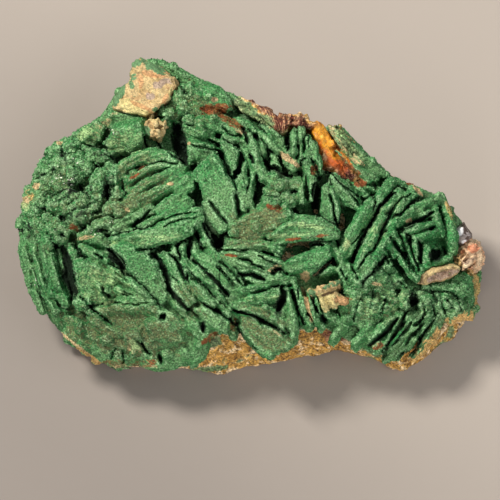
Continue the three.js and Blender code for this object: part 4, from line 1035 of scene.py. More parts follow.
@dataclass(frozen=True)
class RockFinish(Finish):
    """Iron-stained barite rock: ochre and cream, rust on the top rim, amber glass in the hollow, painted
    shade where it is sheltered.
    """

    name: str = "matrix"
    ochre: Colour = tone(154, 112, 46)
    gold: Colour = tone(206, 162, 82)
    cream: Colour = tone(222, 196, 154)
    brown: Colour = tone(74, 44, 22)
    rust: Colour = tone(84, 34, 20)
    tan: Colour = tone(176, 134, 96)
    amber: Colour = tone(224, 150, 28)
    orange: Colour = tone(188, 86, 16)
    honey: Colour = tone(240, 190, 80)
    green: Colour = tone(74, 112, 70)
    pale: Colour = tone(150, 166, 118)
    grain: float = 0.3
    vein: float = 2.0
    hole: float = 1.5

    def paint(self, book: Book, where: Wire) -> None:
        """Feeds the shader; where is the place."""
        broad = book.noise(where, 4.0, 4.0)
        middle = book.noise(where, 1.3, 5.0, 0.65)
        fine = book.noise(where, 0.35, 3.0, 0.7)
        veins = book.cells(where, self.vein, "Distance", "DISTANCE_TO_EDGE")
        fibre = book.fibres(book.split(where, 2, "SeparateXYZ"))
        rough = fine - 0.5
        uneven = middle - 0.5
        grown = uneven * 2.0 + fibre * 0.5
        rim = book.value("rim")
        colour = book.mix((broad * 2.4 - 0.8 + grown * 0.6).clamp(), self.ochre, self.gold)
        colour = book.mix((grown + rim * 0.5 - 0.06).step(0.0, 0.3) * 0.8, colour, self.cream)
        colour = book.mix((0.0 - grown - 0.1).step(0.0, 0.3) * 0.8, colour, self.brown)
        crack = ((0.05 - veins) * 6.0 - rim).step(0.1, 0.7)
        colour = book.mix(crack * 0.7, colour, self.brown)
        hole = (0.26 - book.cells(where, self.hole) + rough * 0.3).step(0.0, 0.12)
        colour = book.mix(hole * 0.75, colour, self.brown)
        colour = book.mix((rough - 0.05).step(0.0, 0.2) * 0.3, colour, self.brown)
        coat = (book.value("green") * 1.1 + grown * 0.8 + rough * 0.8).step(0.3, 0.7)
        moss = book.mix((fibre * 1.8 + rough).step(-0.05, 0.5), self.green, self.pale)
        colour = book.mix(coat * 0.9, colour, moss)
        fibrous = (fibre * 1.8 + rough * 0.8 + uneven * 0.6).step(-0.1, 0.35)
        red = book.mix(fibrous * 0.85, self.rust, self.tan)
        colour = book.mix((book.value("rust") * 1.3 + uneven * 0.8 - 0.15).clamp(), colour, red)
        amber = book.value("amber")
        glow = book.value("glow")
        glass = book.mix(glow, self.orange, self.amber)
        glass = book.mix((uneven + fibre * 0.3).step(0.0, 0.22) * glow, glass, self.honey)
        glass = book.mix((-0.03 - uneven - fibre * 0.5).step(0.0, 0.24) * 0.7, glass, self.rust)
        colour = book.speckle(colour, where, self.grain, 0.4, 1.8)
        colour = book.mix(amber, colour, book.speckle(glass, where, self.grain, 0.7, 1.3))
        # painted shade: sheltered places are made brown
        colour = book.mix(book.value("shelter").step(0.35, 0.95) * 0.8, colour, self.brown)
        height = middle * 0.9 + fine * 0.7 + fibre * 0.9 + veins.step(0.0, 0.2) * 0.2 - hole * 0.5
        book.finish(
            Base_Color=colour,
            Roughness=0.82 - amber * 0.36 + rough * 0.3,
            Coat_Weight=amber * 0.12,
            Normal=book.bump(height, 0.7, 0.22),
        )


@dataclass(frozen=True)
class BrokenBariteFinish(Finish):
    """Broken tan to cream crystal with stains, lilac grey patches and green grains on its rims."""

    name: str = "barite"
    tan: Colour = tone(158, 130, 78)
    cream: Colour = tone(206, 184, 134)
    peach: Colour = tone(194, 146, 98)
    lilac: Colour = tone(164, 142, 126)
    yellow: Colour = tone(206, 192, 130)
    brown: Colour = tone(86, 56, 32)
    green: Colour = tone(52, 96, 54)
    pale_green: Colour = tone(116, 154, 104)
    grain: float = 0.25

    def paint(self, book: Book, where: Wire) -> None:
        """Feeds the shader; where is the place."""
        broad = book.noise(where, 3.0, 4.0)
        middle = book.noise(where, 1.0, 5.0, 0.65)
        fine = book.noise(where, 0.3, 3.0, 0.7)
        rough = fine - 0.5
        uneven = (middle - 0.5) * 1.6 + rough * 0.5
        rim = book.value("rim")
        colour = book.mix((middle * 1.8 - 0.4 + rim * 0.4).clamp(), self.tan, self.cream)
        colour = book.mix((broad - 0.5).step(0.0, 0.2) * 0.5, colour, self.peach)
        for name, paint in (("yellow", self.yellow), ("stain", self.peach), ("lilac", self.lilac)):
            colour = book.mix((book.value(name) * 1.1 + uneven * 0.8).step(0.3, 0.9) * 0.85, colour, paint)
        crack = ((0.44 - middle) * 3.0 + rough - rim).step(0.1, 0.8)
        colour = book.mix(crack * 0.5, colour, self.brown)
        dark = (book.value("dark") * 1.2 + uneven * 0.8).step(0.3, 0.8)
        colour = book.mix(dark * 0.9, colour, self.brown)
        coat = (book.value("green") * 1.2 + uneven * 1.8).step(0.35, 0.75)
        colour = book.mix(coat, colour, book.mix(fine, self.green, self.pale_green))
        colour = book.speckle(colour, where, self.grain, 0.65, 1.4)
        height = middle * 0.8 + fine * 0.9
        book.finish(
            Base_Color=colour,
            Roughness=middle * 0.3 + 0.5,
            Normal=book.bump(height, 0.8, 0.25),
        )


@dataclass(frozen=True)
class GalenaFinish(Finish):
    """Dark purplish grey metal; the places marked lilac get a painted white glint that stands in for
    bright cleavages.
    """

    name: str = "galena"
    dark: Colour = tone(86, 72, 66)
    light: Colour = tone(176, 166, 162)
    # white: the colour of the painted glint
    white: Colour = tone(252, 250, 250)
    cleavage: float = 0.9

    def paint(self, book: Book, where: Wire) -> None:
        """Feeds the shader; where is the place."""
        each = book.split(book.cells(where, self.cleavage, "Color"), 0)
        fine = book.noise(where, 0.4, 3.0)
        colour = book.mix(((each - 0.5) * 1.4 + (fine - 0.5)).clamp(), self.dark, self.light)
        # painted glint: the lilac places are made white and not metallic
        glint = book.value("lilac")
        colour = book.mix(glint, colour, self.white)
        book.finish(
            Base_Color=colour,
            Roughness=fine * 0.3 + glint * 0.2 + 0.3,
            Metallic=0.8 - glint * 0.8,
            Normal=book.bump(each + fine * 0.3, 0.5, 0.2),
        )


@dataclass(frozen=True)
class FloorFinish(Finish):
    """Plain warm grey paper with painted light falloff: a little darker to the left and towards the front.
    """

    name: str = "floor_paper"
    light: Colour = tone(172, 161, 150)
    dark: Colour = tone(134, 125, 117)

    def paint(self, book: Book, where: Wire) -> None:
        """Feeds the shader; where is the place."""
        right = book.split(where, 0, "SeparateXYZ")
        back = book.split(where, 1, "SeparateXYZ")
        # painted light falloff: darker to the left and to the front
        share = (right + back * 0.8 + (book.noise(where, 60.0, 2.0) - 0.5) * 20.0).step(-80.0, 60.0)
        book.finish(
            Base_Color=book.mix(share, self.dark, self.light),
            Roughness=book.noise(where, 4.0) * 0.1 + 0.8,
        )


class Mineral(Enum):
    """Which mineral a piece is made of."""

    MATRIX = "matrix"
    MALACHITE = "malachite"
    BARITE = "barite"
    PINK = "pink_barite"
    GALENA = "galena"


FINISHES = {
    Mineral.MATRIX: RockFinish(),
    Mineral.MALACHITE: MalachiteFinish(),
    Mineral.BARITE: BrokenBariteFinish(),
    Mineral.PINK: BrokenBariteFinish(
        name="pink_barite", tan=tone(208, 164, 124), cream=tone(238, 212, 172), peach=tone(228, 140, 100),
        lilac=tone(112, 84, 74), yellow=tone(214, 176, 110), brown=tone(110, 64, 38),
    ),
    Mineral.GALENA: GalenaFinish(),
}


@dataclass
class Palette:
    """Makes each mineral's material once.

    Attributes:
        made: the materials that are there already.
    """

    made: dict[Mineral, bpy.types.Material] = field(default_factory=dict)

    def of(self, mineral: Mineral) -> bpy.types.Material:
        """The material of a mineral.

        Args:
            mineral: which one.

        Returns:
            Its material, made on first use.
        """
        if mineral not in self.made:
            self.made[mineral] = FINISHES[mineral].make()
        return self.made[mineral]


@dataclass
class CarvedSolid:
    """One CAD solid given its fine surface.

    Attributes:
        name: the piece's name.
        node: the CAD node whose form it keeps and which it replaces.
        voxel: the size of its finest facets.
        neighbour: the CAD node that hides part of its surface; facets near it are made coarse.
        seen_from, hidden_to: how near the neighbour facets begin to be coarse and are fully so.
    """

    name: str
    node: str
    voxel: float
    neighbour: str = ""
    seen_from: float = 0.9
    hidden_to: float = 0.6

    def copy(self) -> bpy.types.Object:
        """Copies the solid and merges its loose triangles.

        Returns:
            The copy, as a piece.
        """
        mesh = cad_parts[self.node].data.copy()
        bm = bmesh.new()
        bm.from_mesh(mesh)
        bmesh.ops.remove_doubles(bm, verts=bm.verts, dist=1e-6)
        bm.to_mesh(mesh)
        bm.free()
        mesh.name = self.name
        mesh.materials.clear()
        return self.show(mesh)

    def show(self, mesh: bpy.types.Mesh) -> bpy.types.Object:
        """Makes a piece on a mesh.

        Args:
            mesh: the mesh.

        Returns:
            The piece, in the scene.
        """
        piece = bpy.data.objects.new(self.name, mesh)
        bpy.context.scene.collection.objects.link(piece)
        return piece

    def bake(self, piece: bpy.types.Object) -> None:
        """Makes the result of the piece's modifiers its own mesh.

        Args:
            piece: the piece.
        """
        graph = bpy.context.evaluated_depsgraph_get()
        mesh = bpy.data.meshes.new_from_object(piece.evaluated_get(graph))
        piece.modifiers.clear()
        piece.data = mesh

    def facets(self, piece: bpy.types.Object) -> None:
        """Covers the piece with even facets, which also joins what overlaps.

        Args:
            piece: the piece.
        """
        fine = piece.modifiers.new("facets", "REMESH")
        fine.mode, fine.voxel_size, fine.adaptivity = "VOXEL", self.voxel * MM, 0.0
        self.bake(piece)

    def cut(self, piece: bpy.types.Object, tool: bpy.types.Object, operation: str) -> None:
        """Cuts the piece with a tool, which is removed.

        Args:
            piece: what is cut.
            tool: a closed form.
            operation: INTERSECT or DIFFERENCE.
        """
        cut = piece.modifiers.new("cut", "BOOLEAN")
        cut.operation, cut.object, cut.solver = operation, tool, "MANIFOLD"
        self.bake(piece)
        bpy.data.objects.remove(tool)

    def coarsen(self, piece: bpy.types.Object, keep: float) -> None:
        """Makes the facets coarse where the neighbour hides them.

        Args:
            piece: the finely faceted piece.
            keep: share of the facets that may stay, at least.
        """
        group = piece.vertex_groups.new(name="hidden")
        group.add(list(range(len(piece.data.vertices))), 1.0, "REPLACE")
        near = piece.modifiers.new("near", "VERTEX_WEIGHT_PROXIMITY")
        near.vertex_group, near.target = "hidden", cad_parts[self.neighbour]
        near.proximity_mode, near.proximity_geometry = "GEOMETRY", {"FACE"}
        near.min_dist, near.max_dist = self.seen_from * MM, self.hidden_to * MM
        thin = piece.modifiers.new("thin", "DECIMATE")
        thin.ratio, thin.vertex_group, thin.vertex_group_factor = keep, "hidden", 10.0
        self.bake(piece)
        piece.vertex_groups.clear()

    def settle(self, piece: bpy.types.Object, mineral: Mineral, palette: Palette) -> None:
        """Gives the piece its material and its body, names its mesh after it, and hides the CAD node that
        it replaces.

        Args:
            piece: the finished piece.
            mineral: what it is made of.
            palette: where the material comes from.
        """
        mesh = piece.data
        mesh.name = piece.name
        mesh.materials.clear()
        mesh.materials.append(palette.of(mineral))
        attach(piece, "root")
        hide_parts(self.node)
        mesh.calc_loop_triangles()
        log.info("%s: %d triangles", piece.name, len(mesh.loop_triangles))


def smooth(mesh: bpy.types.Mesh, on: bool) -> None:
    """Shades every face of a mesh smooth or flat."""
    mesh.polygons.foreach_set("use_smooth", np.full(len(mesh.polygons), on))


@dataclass(frozen=True)
class Lamina:
    """A stretch of the face where the druse follows thin parallel plates.

    Attributes:
        patch: where.
        angle: direction of the plates on the face.
        depth: depth of the slits between them.
        pitch: usual distance between slits.
    """

    patch: Patch
    angle: float
    depth: float = 0.35
    pitch: float = 0.9


@dataclass
class Grain:
    """Which way the plates and fibres of a surface run.

    Attributes:
        along, across: distances along and across them at each place.
        share: how clearly they show.
        depth, pitch: depth and distance of the slits.
    """

    along: Array
    across: Array
    share: Array
    depth: Array
    pitch: Array

    @classmethod
    def of(cls, points: Array, laminae: Sequence[Lamina], seed: int) -> "Grain":
        """Takes for each place the lamina that is strongest there.

        Args:
            points: places on the face.
            laminae: the stretches.
            seed: picks the outline of the stretches.

        Returns:
            The grain.
        """
        along, across = turned(points, 20.0)
        count = len(points)
        grain = cls(along, across, np.full(count, 0.05), np.zeros(count), np.ones(count))
        for k, lamina in enumerate(laminae):
            share = lamina.patch.mask(points, seed + 5 * k)
            here = share > grain.share
            grain.share[here] = share[here]
            grain.along[here], grain.across[here] = turned(points[here], lamina.angle)
            grain.depth[here], grain.pitch[here] = lamina.depth, lamina.pitch
        return grain

    def relief(self, height: Array, seed: int) -> Array:
        """Slits and fine ridges along the plates.

        A slit runs where a drift that is long along the plates and short across them crosses zero; the
        ridges are a finer drift of the same kind.

        Args:
            height: distance from the face at each place.
            seed: picks the pattern.

        Returns:
            The height of the relief at each place.
        """
        walk = np.stack([self.along / 6.0, self.across / self.pitch, height / 5.0], axis=1)
        slit = np.exp(-((drift(walk, 1.0, seed) / 0.2) ** 2))
        ridge = drift(np.stack([self.along / 3.0, self.across / 0.5, height], axis=1), 1.0, seed + 9)
        return (0.1 * ridge - self.depth * slit) * ease(self.share, 0.0, 0.5)


@dataclass(frozen=True)
class Marks:
    """Stains of one kind on a surface, or the places of painted glints.

    Attributes:
        name: which colour of the finish they take.
        places: where.
    """

    name: str
    places: tuple[Patch, ...]


SMALL_PLATES = tuple(PlateRow(*row) for row in (
    ((-26, 5, -19, 9.6), (-24.5, 2.4, -12.6, 7.4), 4, 6.0, 0.8),
    ((-25, -1.4, -18, 1.4), (-21, -3.0, -11, -0.6), 3, 6.0, 0.8),
    ((-34, -0.6, -28, 2.4), (-31.5, -3.6, -25, -0.6), 4, 4.6, 0.8),
    ((-15.6, -6, -14, -9.6), (-9.6, -3, -7.8, -9), 5, 6.0, 0.7),
    ((-13.6, -8.6, -5, -17.6), (-6.6, -7.4, -1.4, -14), 6, 7.0, 0.7),
    ((-17, -8, -12.2, -17), (-14.4, -7, -9.6, -15.4), 3, 6.6, 0.8),
    ((-5, -9, 3, -12), (0.6, -7.4, 6.6, -9.4), 4, 6.6, 0.7),
    ((-3.6, -18, 4.6, -17.4), (-2.6, -14.2, 6, -14.6), 4, 6.6, 0.7),
    ((-5.4, 14.4, -3.2, 6.8), (1.6, 15, 0.8, 3), 5, 6.8, 0.7),
    ((0.4, 17.6, 5, 12.6), (3, 18.4, 7.4, 13.4), 3, 6.6, 0.8),
    ((8.6, 17, 9, 10), (13.4, 15, 12.6, 4), 4, 6.6, 0.8),
    ((7.2, -14.4, 8.8, -22.6), (12.8, -15, 14.4, -22), 5, 6.4, 0.7),
    ((16.4, 15, 21, 11), (20, 9, 27, 4.6), 6, 4.6, 0.7),
    ((15.4, 7.6, 21.6, 1.4), (19, 7.4, 24, 3), 3, 5.6, 0.8),
    ((29.4, -19.4, 24.2, -25.4), (38, -20.4, 33, -28), 6, 5.6, 0.9),
    ((21.6, -14.6, 29, -18.6), (23, -19.4, 30, -21.6), 4, 5.0, 0.9),
    ((34, -16, 33.6, -19), (42, -16, 42, -20.4), 6, 4.6, 0.9),
    ((-12.4, 13.6, -6, 10.6), (-11, 18.4, -1.4, 15), 4, 6.2, 0.8),
    ((-45, -5, -41.6, -17.4), (-40, -5, -36.8, -17.4), 5, 4.0, 1.1),
    ((-10.4, -19, -4.4, -22.6), (-12.6, -22, -8, -25.4), 4, 5.0, 0.8),
    ((-33.4, -7, -26, -12), (-31, -5.4, -24.6, -10), 3, 5.0, 0.8),
    ((-30, -13.6, -21, -15.6), (-31, -17, -20.6, -17), 3, 5.0, 0.8),
))
SLITS = tuple(PlateRow(*row) for row in (
    ((16.3, 4.4, 17.0, -2.4), (16.3, 4.4, 17.0, -2.4), 1, 13, 0.5, 2.5),
    ((32.2, -19.6, 26.6, -26.6), (35.6, -20, 28.8, -28.6), 2, 12, 0.7, 2.0),
    ((25.3, 1.8, 20.2, -9), (28.4, 0.6, 23.4, -9.6), 2, 13, 0.5, 2.5),
    ((-28.4, -10.6, -23, -16), (-28.4, -10.6, -23, -16), 1, 12, 0.6, 3.0),
    ((-22, -24.6, -20, -27.2), (-18, -27.4, -17.4, -29.2), 2, 8, 0.7, 0.6),
    ((-32.6, -18.2, -27, -22.2), (-32.6, -18.2, -27, -22.2), 1, 8, 0.5, 0.8),
    ((-10.8, 4.6, -8.8, -0.6), (-5.6, 13.2, -3, 5.6), 2, 13, 0.6, 2.0),
    ((-12.6, -10, -11.6, -14), (-12.6, -10, -11.6, -14), 1, 13, 0.6, 2.0),
    ((-10, -10, -4, -15.8), (-8.2, -8.4, -2.6, -13.8), 2, 13, 0.45, 3.0),
    ((-3, -18.8, 6.6, -22), (-3, -18.8, 6.6, -22), 1, 12, 0.6, 2.5),
    ((-33.4, 14.2, -27.4, 10.4), (-33.4, 14.2, -27.4, 10.4), 1, 12, 0.5, 1.5),
    ((-2, 16, -0.8, 12), (1.4, 16.6, 3.2, 13), 2, 13, 0.5, 2.5),
))
# low ledges: x, y and height over the rock of the middle, then the half size each way
SHELVES = (
    (-31, -23.4, 1.0, 6.0, 3.6, 1.6),
    (-25, -26.2, 1.0, 6.5, 3.8, 1.7),
    (-17.5, -26.6, 1.0, 6.0, 4.4, 1.7),
    (-11, -25.6, 0.6, 3.0, 4.0, 1.4),
)
DRUSE = spots(
    (-36, 7, 9, 8, 30), (-42, -1, 4, 6, 80), (-31, 0, 5, 3.6, 20, 0.5), (-14, 22, 6, 4, -30, 0.4),
    (24, -16, 7, 5, 0, 0.5), (38, -17, 6, 4, 0, 0.5), (6, 5, 4, 3, 0, 0.5),
)
# x, y, half axes and turn of the stretch, then angle and depth of its plates
LAMINAE = tuple(Lamina(Patch(*row[:5]), *row[5:]) for row in (
    (-42, -12, 5, 11, 10, -72), (-37, -12, 3, 8, 10, -76), (-38, 5, 7, 8, 30, 32),
    (-29, 8, 6, 6, 20, 24, 0.3), (-30, 15, 6, 3, -28, -28, 0.3), (-20, 7, 10, 5, 25, 28, 0.4),
    (-18, -1.5, 9, 3, 18, 18, 0.4), (-32, -3, 6, 4, 20, 24, 0.3), (-26, -7, 7, 3, -8, -10, 0.3),
    (-18, -6, 7, 2.6, -4, 6, 0.35), (-15, -12, 4, 7, 20, -62, 0.4), (-7, -13, 8, 6, -48, -48, 0.4),
    (2, -15, 6, 4, 0, 4, 0.35), (2, -9.5, 7, 3, -15, -15, 0.4), (2, -3, 8, 4, 20, 16, 0.3),
    (11, -4, 6, 3, 0, 4, 0.3), (-6, 10, 5, 6, -60, -62, 0.4), (1, 12, 4, 7, 0, -70, 0.4),
    (-9, 15, 6, 3, -20, -24, 0.35), (-10, 22, 9, 4, -20, -22, 0.3), (11, 11, 4, 8, 0, -84, 0.4),
    (9, -18, 4, 6, 0, -76, 0.4), (1, -22, 8, 4, -30, -38, 0.4), (21, 9, 9, 5, -40, -42, 0.4),
    (14, 2, 3, 6, 0, -84, 0.3), (24, -2, 6, 11, -30, 58, 0.3), (31, -23, 9, 7, 50, 50, 0.4),
    (31, -9, 5, 6, 0, -58, 0.35), (35, -1, 6, 4, 0, 20, 0.35), (23, -17, 6, 5, 0, -20, 0.25),
    (38, -17, 6, 3, 0, -4, 0.3), (-27, -14, 6, 4, -30, -28, 0.25), (-26, -22, 12, 6, -8, -30, 0.2),
    (-12, -19, 4, 5, 20, -50, 0.3),
))
# width and depth, then the lines of the gaps that have them
GAP_LINES = (
    (0.25, 0.7, (-40.2, -10, -39.2, -13.5, -38, -15.8)),
    (0.25, 1.6,
        (-18.5, -1.7, -15, -0.5, -10.5, 0.5), (-17, -2.4, -14, -1.2, -10.5, -0.7),
        (-15.8, -12, -13.8, -13.7), (-12.5, -10.5, -9, -14, -5.5, -17.7),
        (-12, -12, -8, -15, -4.5, -18.5), (-25, -15.2, -23, -16), (9.5, -14.8, 9.8, -17),
        (0.2, -15.8, 2.5, -15.2, 4, -14.6), (-5.5, -9.5, -3, -11.7, -1.8, -13.5), (-8, -15.2, -6, -17),
        (22.6, -2.8, 20.5, -6), (18.3, 6.2, 20.3, 3.8, 22, 1.3), (26.8, -6.5, 28, -8.5),
        (-25.3, -15.8, -24, -16), (-12.5, 18, -11, 17.7), (-10, 13.7, -6, 12.5),
        (-6, 15.5, -3.5, 13.8, -1.8, 12.7), (-5.5, 17.3, -4, 15.8, -2.5, 15.2), (2.5, 15, 4, 13),
    ),
    (0.3, 0.7,
        (-42, -7.5, -40.8, -12, -39, -15.3, -37.2, -16),
        (-43.5, -11, -43, -14, -41.5, -16, -39.5, -18.5),
    ),
    (0.3, 1.0,
        (-24.2, -11.7, -20, -15.5, -17, -19.2), (-26.5, -17.5, -23, -17.9, -20, -17.5),
        (-26.5, -11.5, -24, -13.5),
    ),
    (0.3, 1.6,
        (-23, -3, -20.7, -3.1, -19, -2, -17, -0.8), (-28, -4.5, -26.5, -4.2, -23.7, -3.5),
        (5.3, -7.4, 7, -9.3), (-5.5, -7, -0.5, -7.5), (-2, -8.8, 0.2, -9.5, 2.8, -11),
        (-2.5, -12.5, -1.5, -14), (-6.5, -10.2, -4.2, -12.5, -3, -14.5), (29, -0.5, 30, 0, 31.5, 1.3),
        (28.8, 1.8, 30.3, 3.3, 32, 4), (29.2, -3.2, 30.7, -6.5, 31.5, -9, 33, -12),
        (31.8, -15, 40, -15.5), (26, -4, 25, -6.3, 23, -8.5, 21.5, -10.8), (23.2, 6, 25.2, 5.3),
        (17.2, -5.2, 17.8, -6.5), (18.2, -10.8, 19.5, -13.3), (20, -9.5, 21.5, -13),
        (30.5, -8, 31.8, -10.8, 33.2, -12), (-26.7, -26.5, -27.3, -28.5), (-25, -26.8, -25, -29.7),
        (-33, 4.5, -30.5, 2.5), (-18.5, 14.5, -17.7, 12.8), (-20.4, 12.8, -21.2, 15.8),
        (-11.5, 13.8, -10, 13.3, -6, 12.3), (-22.5, 9, -17.5, 10.5, -14, 10), (-16, 12, -13.8, 10.3),
        (11.3, 7.5, 11.5, 2.5), (11, 15.2, 10.5, 14.2), (14.7, 10.5, 16, 8.5, 18, 6, 20.5, 3.7),
        (19, 5.5, 21.5, 3.5),
    ),
    (0.35, 0.7, (-43.2, -8, -42, -13.5, -39.8, -16.5, -37.8, -18.5)),
    (0.35, 1.6,
        (30.2, -5.5, 31, -7.5, 32, -9.5), (34.4, -17.4, 34.8, -20), (36.3, -18, 37, -20.6),
        (41.2, -16.4, 42, -19.2), (29.4, -13, 31.2, -14.6), (-27, 8, -27.2, 6, -27, 4.5),
        (15.5, 7.6, 16.4, 6),
    ),
    (0.4, 1.6,
        (-22.5, -7, -19.7, -7, -17, -6), (1.5, -8.2, 3.5, -9.2, 5.5, -9.8), (4, -14.2, 8.5, -14.2),
        (34.3, -3.5, 36.8, -2.5), (28, -4.5, 29.2, -6.7, 31.7, -10), (31.7, -6, 32.5, -8.5, 33.5, -11),
        (38.5, -6.5, 39.5, -8.5), (33.5, 3.5, 32, 2, 31, 1.2), (32, -21.4, 30.3, -23.7, 28.3, -26),
        (35.3, -19, 34, -20.8, 32.6, -22.3), (34, -25.2, 32.6, -27, 31.5, -29), (38.2, -17.2, 39, -20),
        (24.6, -15, 23.8, -18.6), (27, -16.6, 26, -20), (21.4, -17.6, 20.6, -21),
        (-33.5, -16.3, -31, -19, -28.5, -21, -27.4, -22), (-33.2, 14, -30.5, 13, -28, 11.5, -26.8, 10),
        (-39, 2.3, -36, 3.5), (-20, 19.5, -17, 19.3), (-6, 12.2, -5, 9.8, -4, 7.5, -3, 6, -2.5, 5),
        (-0.4, 9, 0, 7, -0.6, 4.2), (4, 3.6, 5.6, 3.3), (11.8, 15.5, 11.8, 13.2),
        (12.2, 11, 13.3, 9, 14, 7),
    ),
    (0.4, 2.0, (16, 3.8, 16.7, 1.8, 17, -1, 17.4, -2.2)),
    (0.5, 1.6,
        (-23.2, -2.4, -19.7, 0.7), (6, -6.3, 9.5, -6, 12.8, -5.5, 14.5, -5.2), (7, -22.3, 8, -23.5),
        (27, 0, 28, 1.3), (26.5, -8, 27.5, -10), (31.8, 1.5, 30, 0.3, 28.8, -0.5),
        (24.6, 3.8, 25, 2.2, 24.5, 0.8), (-35.5, -5.8, -34, -7.2, -32.3, -9.2), (-30.5, -7.8, -29, -9),
        (-29.2, -14.2, -28.8, -15.7, -27.8, -16.2), (-38, -0.5, -35.5, -1),
        (-35, 1, -33.2, 1, -32, 2, -30, 2.5), (-37.8, -0.2, -35.5, 0), (1, 16, 1.7, 14.6),
        (3.5, 13.2, 5, 12),
    ),
    (0.5, 1.8,
        (8.2, -15, 9, -17, 10, -20, 10.5, -21.8),
        (-6.8, -19, -4.5, -20.5, -2.5, -22, -1.2, -24.3, 0.8, -26.7, 2.6, -28.7),
        (-8, -12, -6.5, -13.5, -4, -16.2),
    ),
    (0.5, 2.0, (-15.8, -8, -14, -9.8, -13, -12, -12, -13.6)),
    (0.6, 1.6,
        (29.5, 5.5, 31, 4.7), (28.3, -5, 29.4, -7.2), (39, -17, 40.5, -18.7),
        (-22.3, -25, -19.7, -27.7), (-29.8, -3, -28, -3.3), (-14, 25.5, -12.5, 23.8),
        (-20, 29.5, -17.5, 28.2), (1.4, 8, 2, 6), (1, 4.5, 1, 2.3), (3.4, 11.8, 3.1, 10),
        (10, 9.8, 10.8, 11), (8.2, 0.8, 10, 0), (-8, 2.6, -5.8, 0), (24.5, 6, 25.3, 5),
    ),
    (0.6, 1.8,
        (-7.5, 2.2, -6, -0.2, -4.3, -1.8), (-9.5, -17.5, -6.8, -19, -4.5, -20.5),
        (12, -16, 12.8, -18, 13.8, -19.5), (13.5, -11, 16, -9.2),
        (31.2, -19.6, 29.2, -22.8, 27.4, -25.7, 26.5, -27.5),
        (36.7, -21, 34.4, -24, 32.6, -27, 30.3, -27.8, 28.6, -29.5),
    ),
    (0.6, 2.0,
        (-14.4, -5.6, -13.8, -9), (-11, -2.6, -10, -5, -9.6, -7),
        (-11, -9.2, -9, -11, -6.8, -13, -4.2, -15.7),
    ),
    (0.7, 0.7, (-39.3, -16.5, -38, -18.4)),
    (0.7, 1.6, (-18, -28, -17.4, -29.7)),
    (0.7, 1.8, (28.8, 1.8, 27.5, -0.5, 26.5, -2.5, 26, -4)),
    (0.7, 2.0, (27, -8.2, 26, -9.5, 24, -11.7, 22.4, -13.2, 22.2, -14.4), (0.2, 12, 0.8, 10)),
    (0.7, 2.2, (-3.2, -19, -0.5, -19.5, 2.5, -21, 5, -22.3, 7, -23.5)),
    (0.8, 1.6, (8, 4.3, 9.3, 4.5)),
    (0.8, 1.8, (36.2, -15.5, 37.4, -17.6), (-42.2, 7.2, -40.5, 8), (-41.8, 1.2, -40.5, 1)),
    (0.8, 2.0, (11, -6, 14.5, -6), (-9.4, -21.7, -9, -23.4), (-2.6, 3.8, -2.2, 0)),
    (0.8, 2.2,
        (30.2, -3.2, 33.5, -1.2, 36.5, 0.5),
        (29, 4.3, 27.5, 3.5, 25.8, 1, 24.2, -1.5, 22.8, -4, 21.5, -6.5, 20.5, -8.5, 20.4, -9.5),
    ),
    (0.9, 1.4, (-34, -1.5, -32.5, -3)),
    (0.9, 1.8, (-34, 6, -33.3, 4.8), (-37.5, 13.5, -36.8, 11, -36.3, 10.5)),
    (0.9, 2.0, (16.2, -9.5, 14, -11, 12.7, -12)),
    (0.9, 2.2,
        (33.4, -5.5, 34, -7, 33.7, -9.8), (29.2, -20.8, 26.5, -23.7, 24.8, -25.2, 23.6, -26),
        (-1.5, 17.2, -0.7, 15.7, -0.2, 14), (4, 9.5, 5.5, 8.8, 6.3, 7.6, 8.5, 7.3),
    ),
    (0.9, 2.4,
        (-11.6, -5.2, -12, -8.5), (-2.2, -12, 0.2, -12, 3, -13),
        (-1.8, 12.2, -1.6, 10.5, -2.2, 8.8, -3, 7),
    ),
    (1, 2.0, (4.4, -11.5, 6.2, -10.8)),
    (1, 2.2, (31.2, -4.2, 32, -5.5), (18.3, 0, 18.2, -3), (7.3, 15.6, 7.7, 12.8)),
    (1, 2.4, (-28, -6.8, -27.2, -7.2, -25.6, -8.6, -24.6, -10.2)),
    (1, 2.6,
        (-19.7, -8, -18, -9, -17, -11, -16.2, -12.5, -16, -14.5, -15, -16, -13, -18.2, -12, -19),
    ),
    (1.1, 2.0, (-38.8, -6.2, -38.2, -6.6), (-39, 8.9, -38.4, 8.5)),
    (1.2, 2.2, (14, -20, 15, -21.5)),
    (1.2, 2.6, (-9.2, -2, -8, -4, -7, -5.5, -6.2, -7), (6.4, -14.8, 6.8, -16, 6, -18, 5.6, -19.2)),
    (1.4, 2.2, (-37.5, -4, -36.9, -4.4)),
    (1.4, 2.6, (-8, -4, -6.5, -5.3, -5.5, -6.8), (13, 5.8, 13.2, 0.4)),
    (1.5, 2.4, (-17.4, -20.2, -17, -20.6)),
    (1.5, 2.6, (-28.2, 6.4, -28.1, 3.2)),
    (1.5, 2.8, (-37.2, -6.3, -36.2, -9, -35.5, -12, -35, -14, -34.6, -15.5, -35.2, -17)),
    (2.2, 2.6, (36.6, -7.7, 37.4, -8.3)),
    (2.3, 3.2, (-14.2, 17.6, -14, 14, -13, 10.4)),
    (2.6, 2.6, (32.1, -16.5, 32.9, -17.3)),
)
GAPS = tuple(Gap(path, wide, deep) for wide, deep, *paths in GAP_LINES for path in paths)
DUSTY = spots(
    (-26, -23, 12, 5.5, -8), (1, -2.6, 6.5, 3.6, 25), (-36, 2, 8, 8, 0, 0.7), (-22, 6, 6, 5, 25, 0.8),
    (-27, 1, 5, 2.4, 20), (25, -17, 6, 4, 0, 0.6), (-12, 21, 5, 4, -30, 0.8),
    (-12, -17, 2.6, 4, 20, 0.8), (7, 5, 4, 3, 0, 0.7), (3, -22.6, 6, 4, -30, 0.8),
    (-29, 15, 6, 3, -28, 0.6), (-30, -12, 3.6, 2, 0, 0.5), (38, -18, 5, 3, 0, 0.5),
)
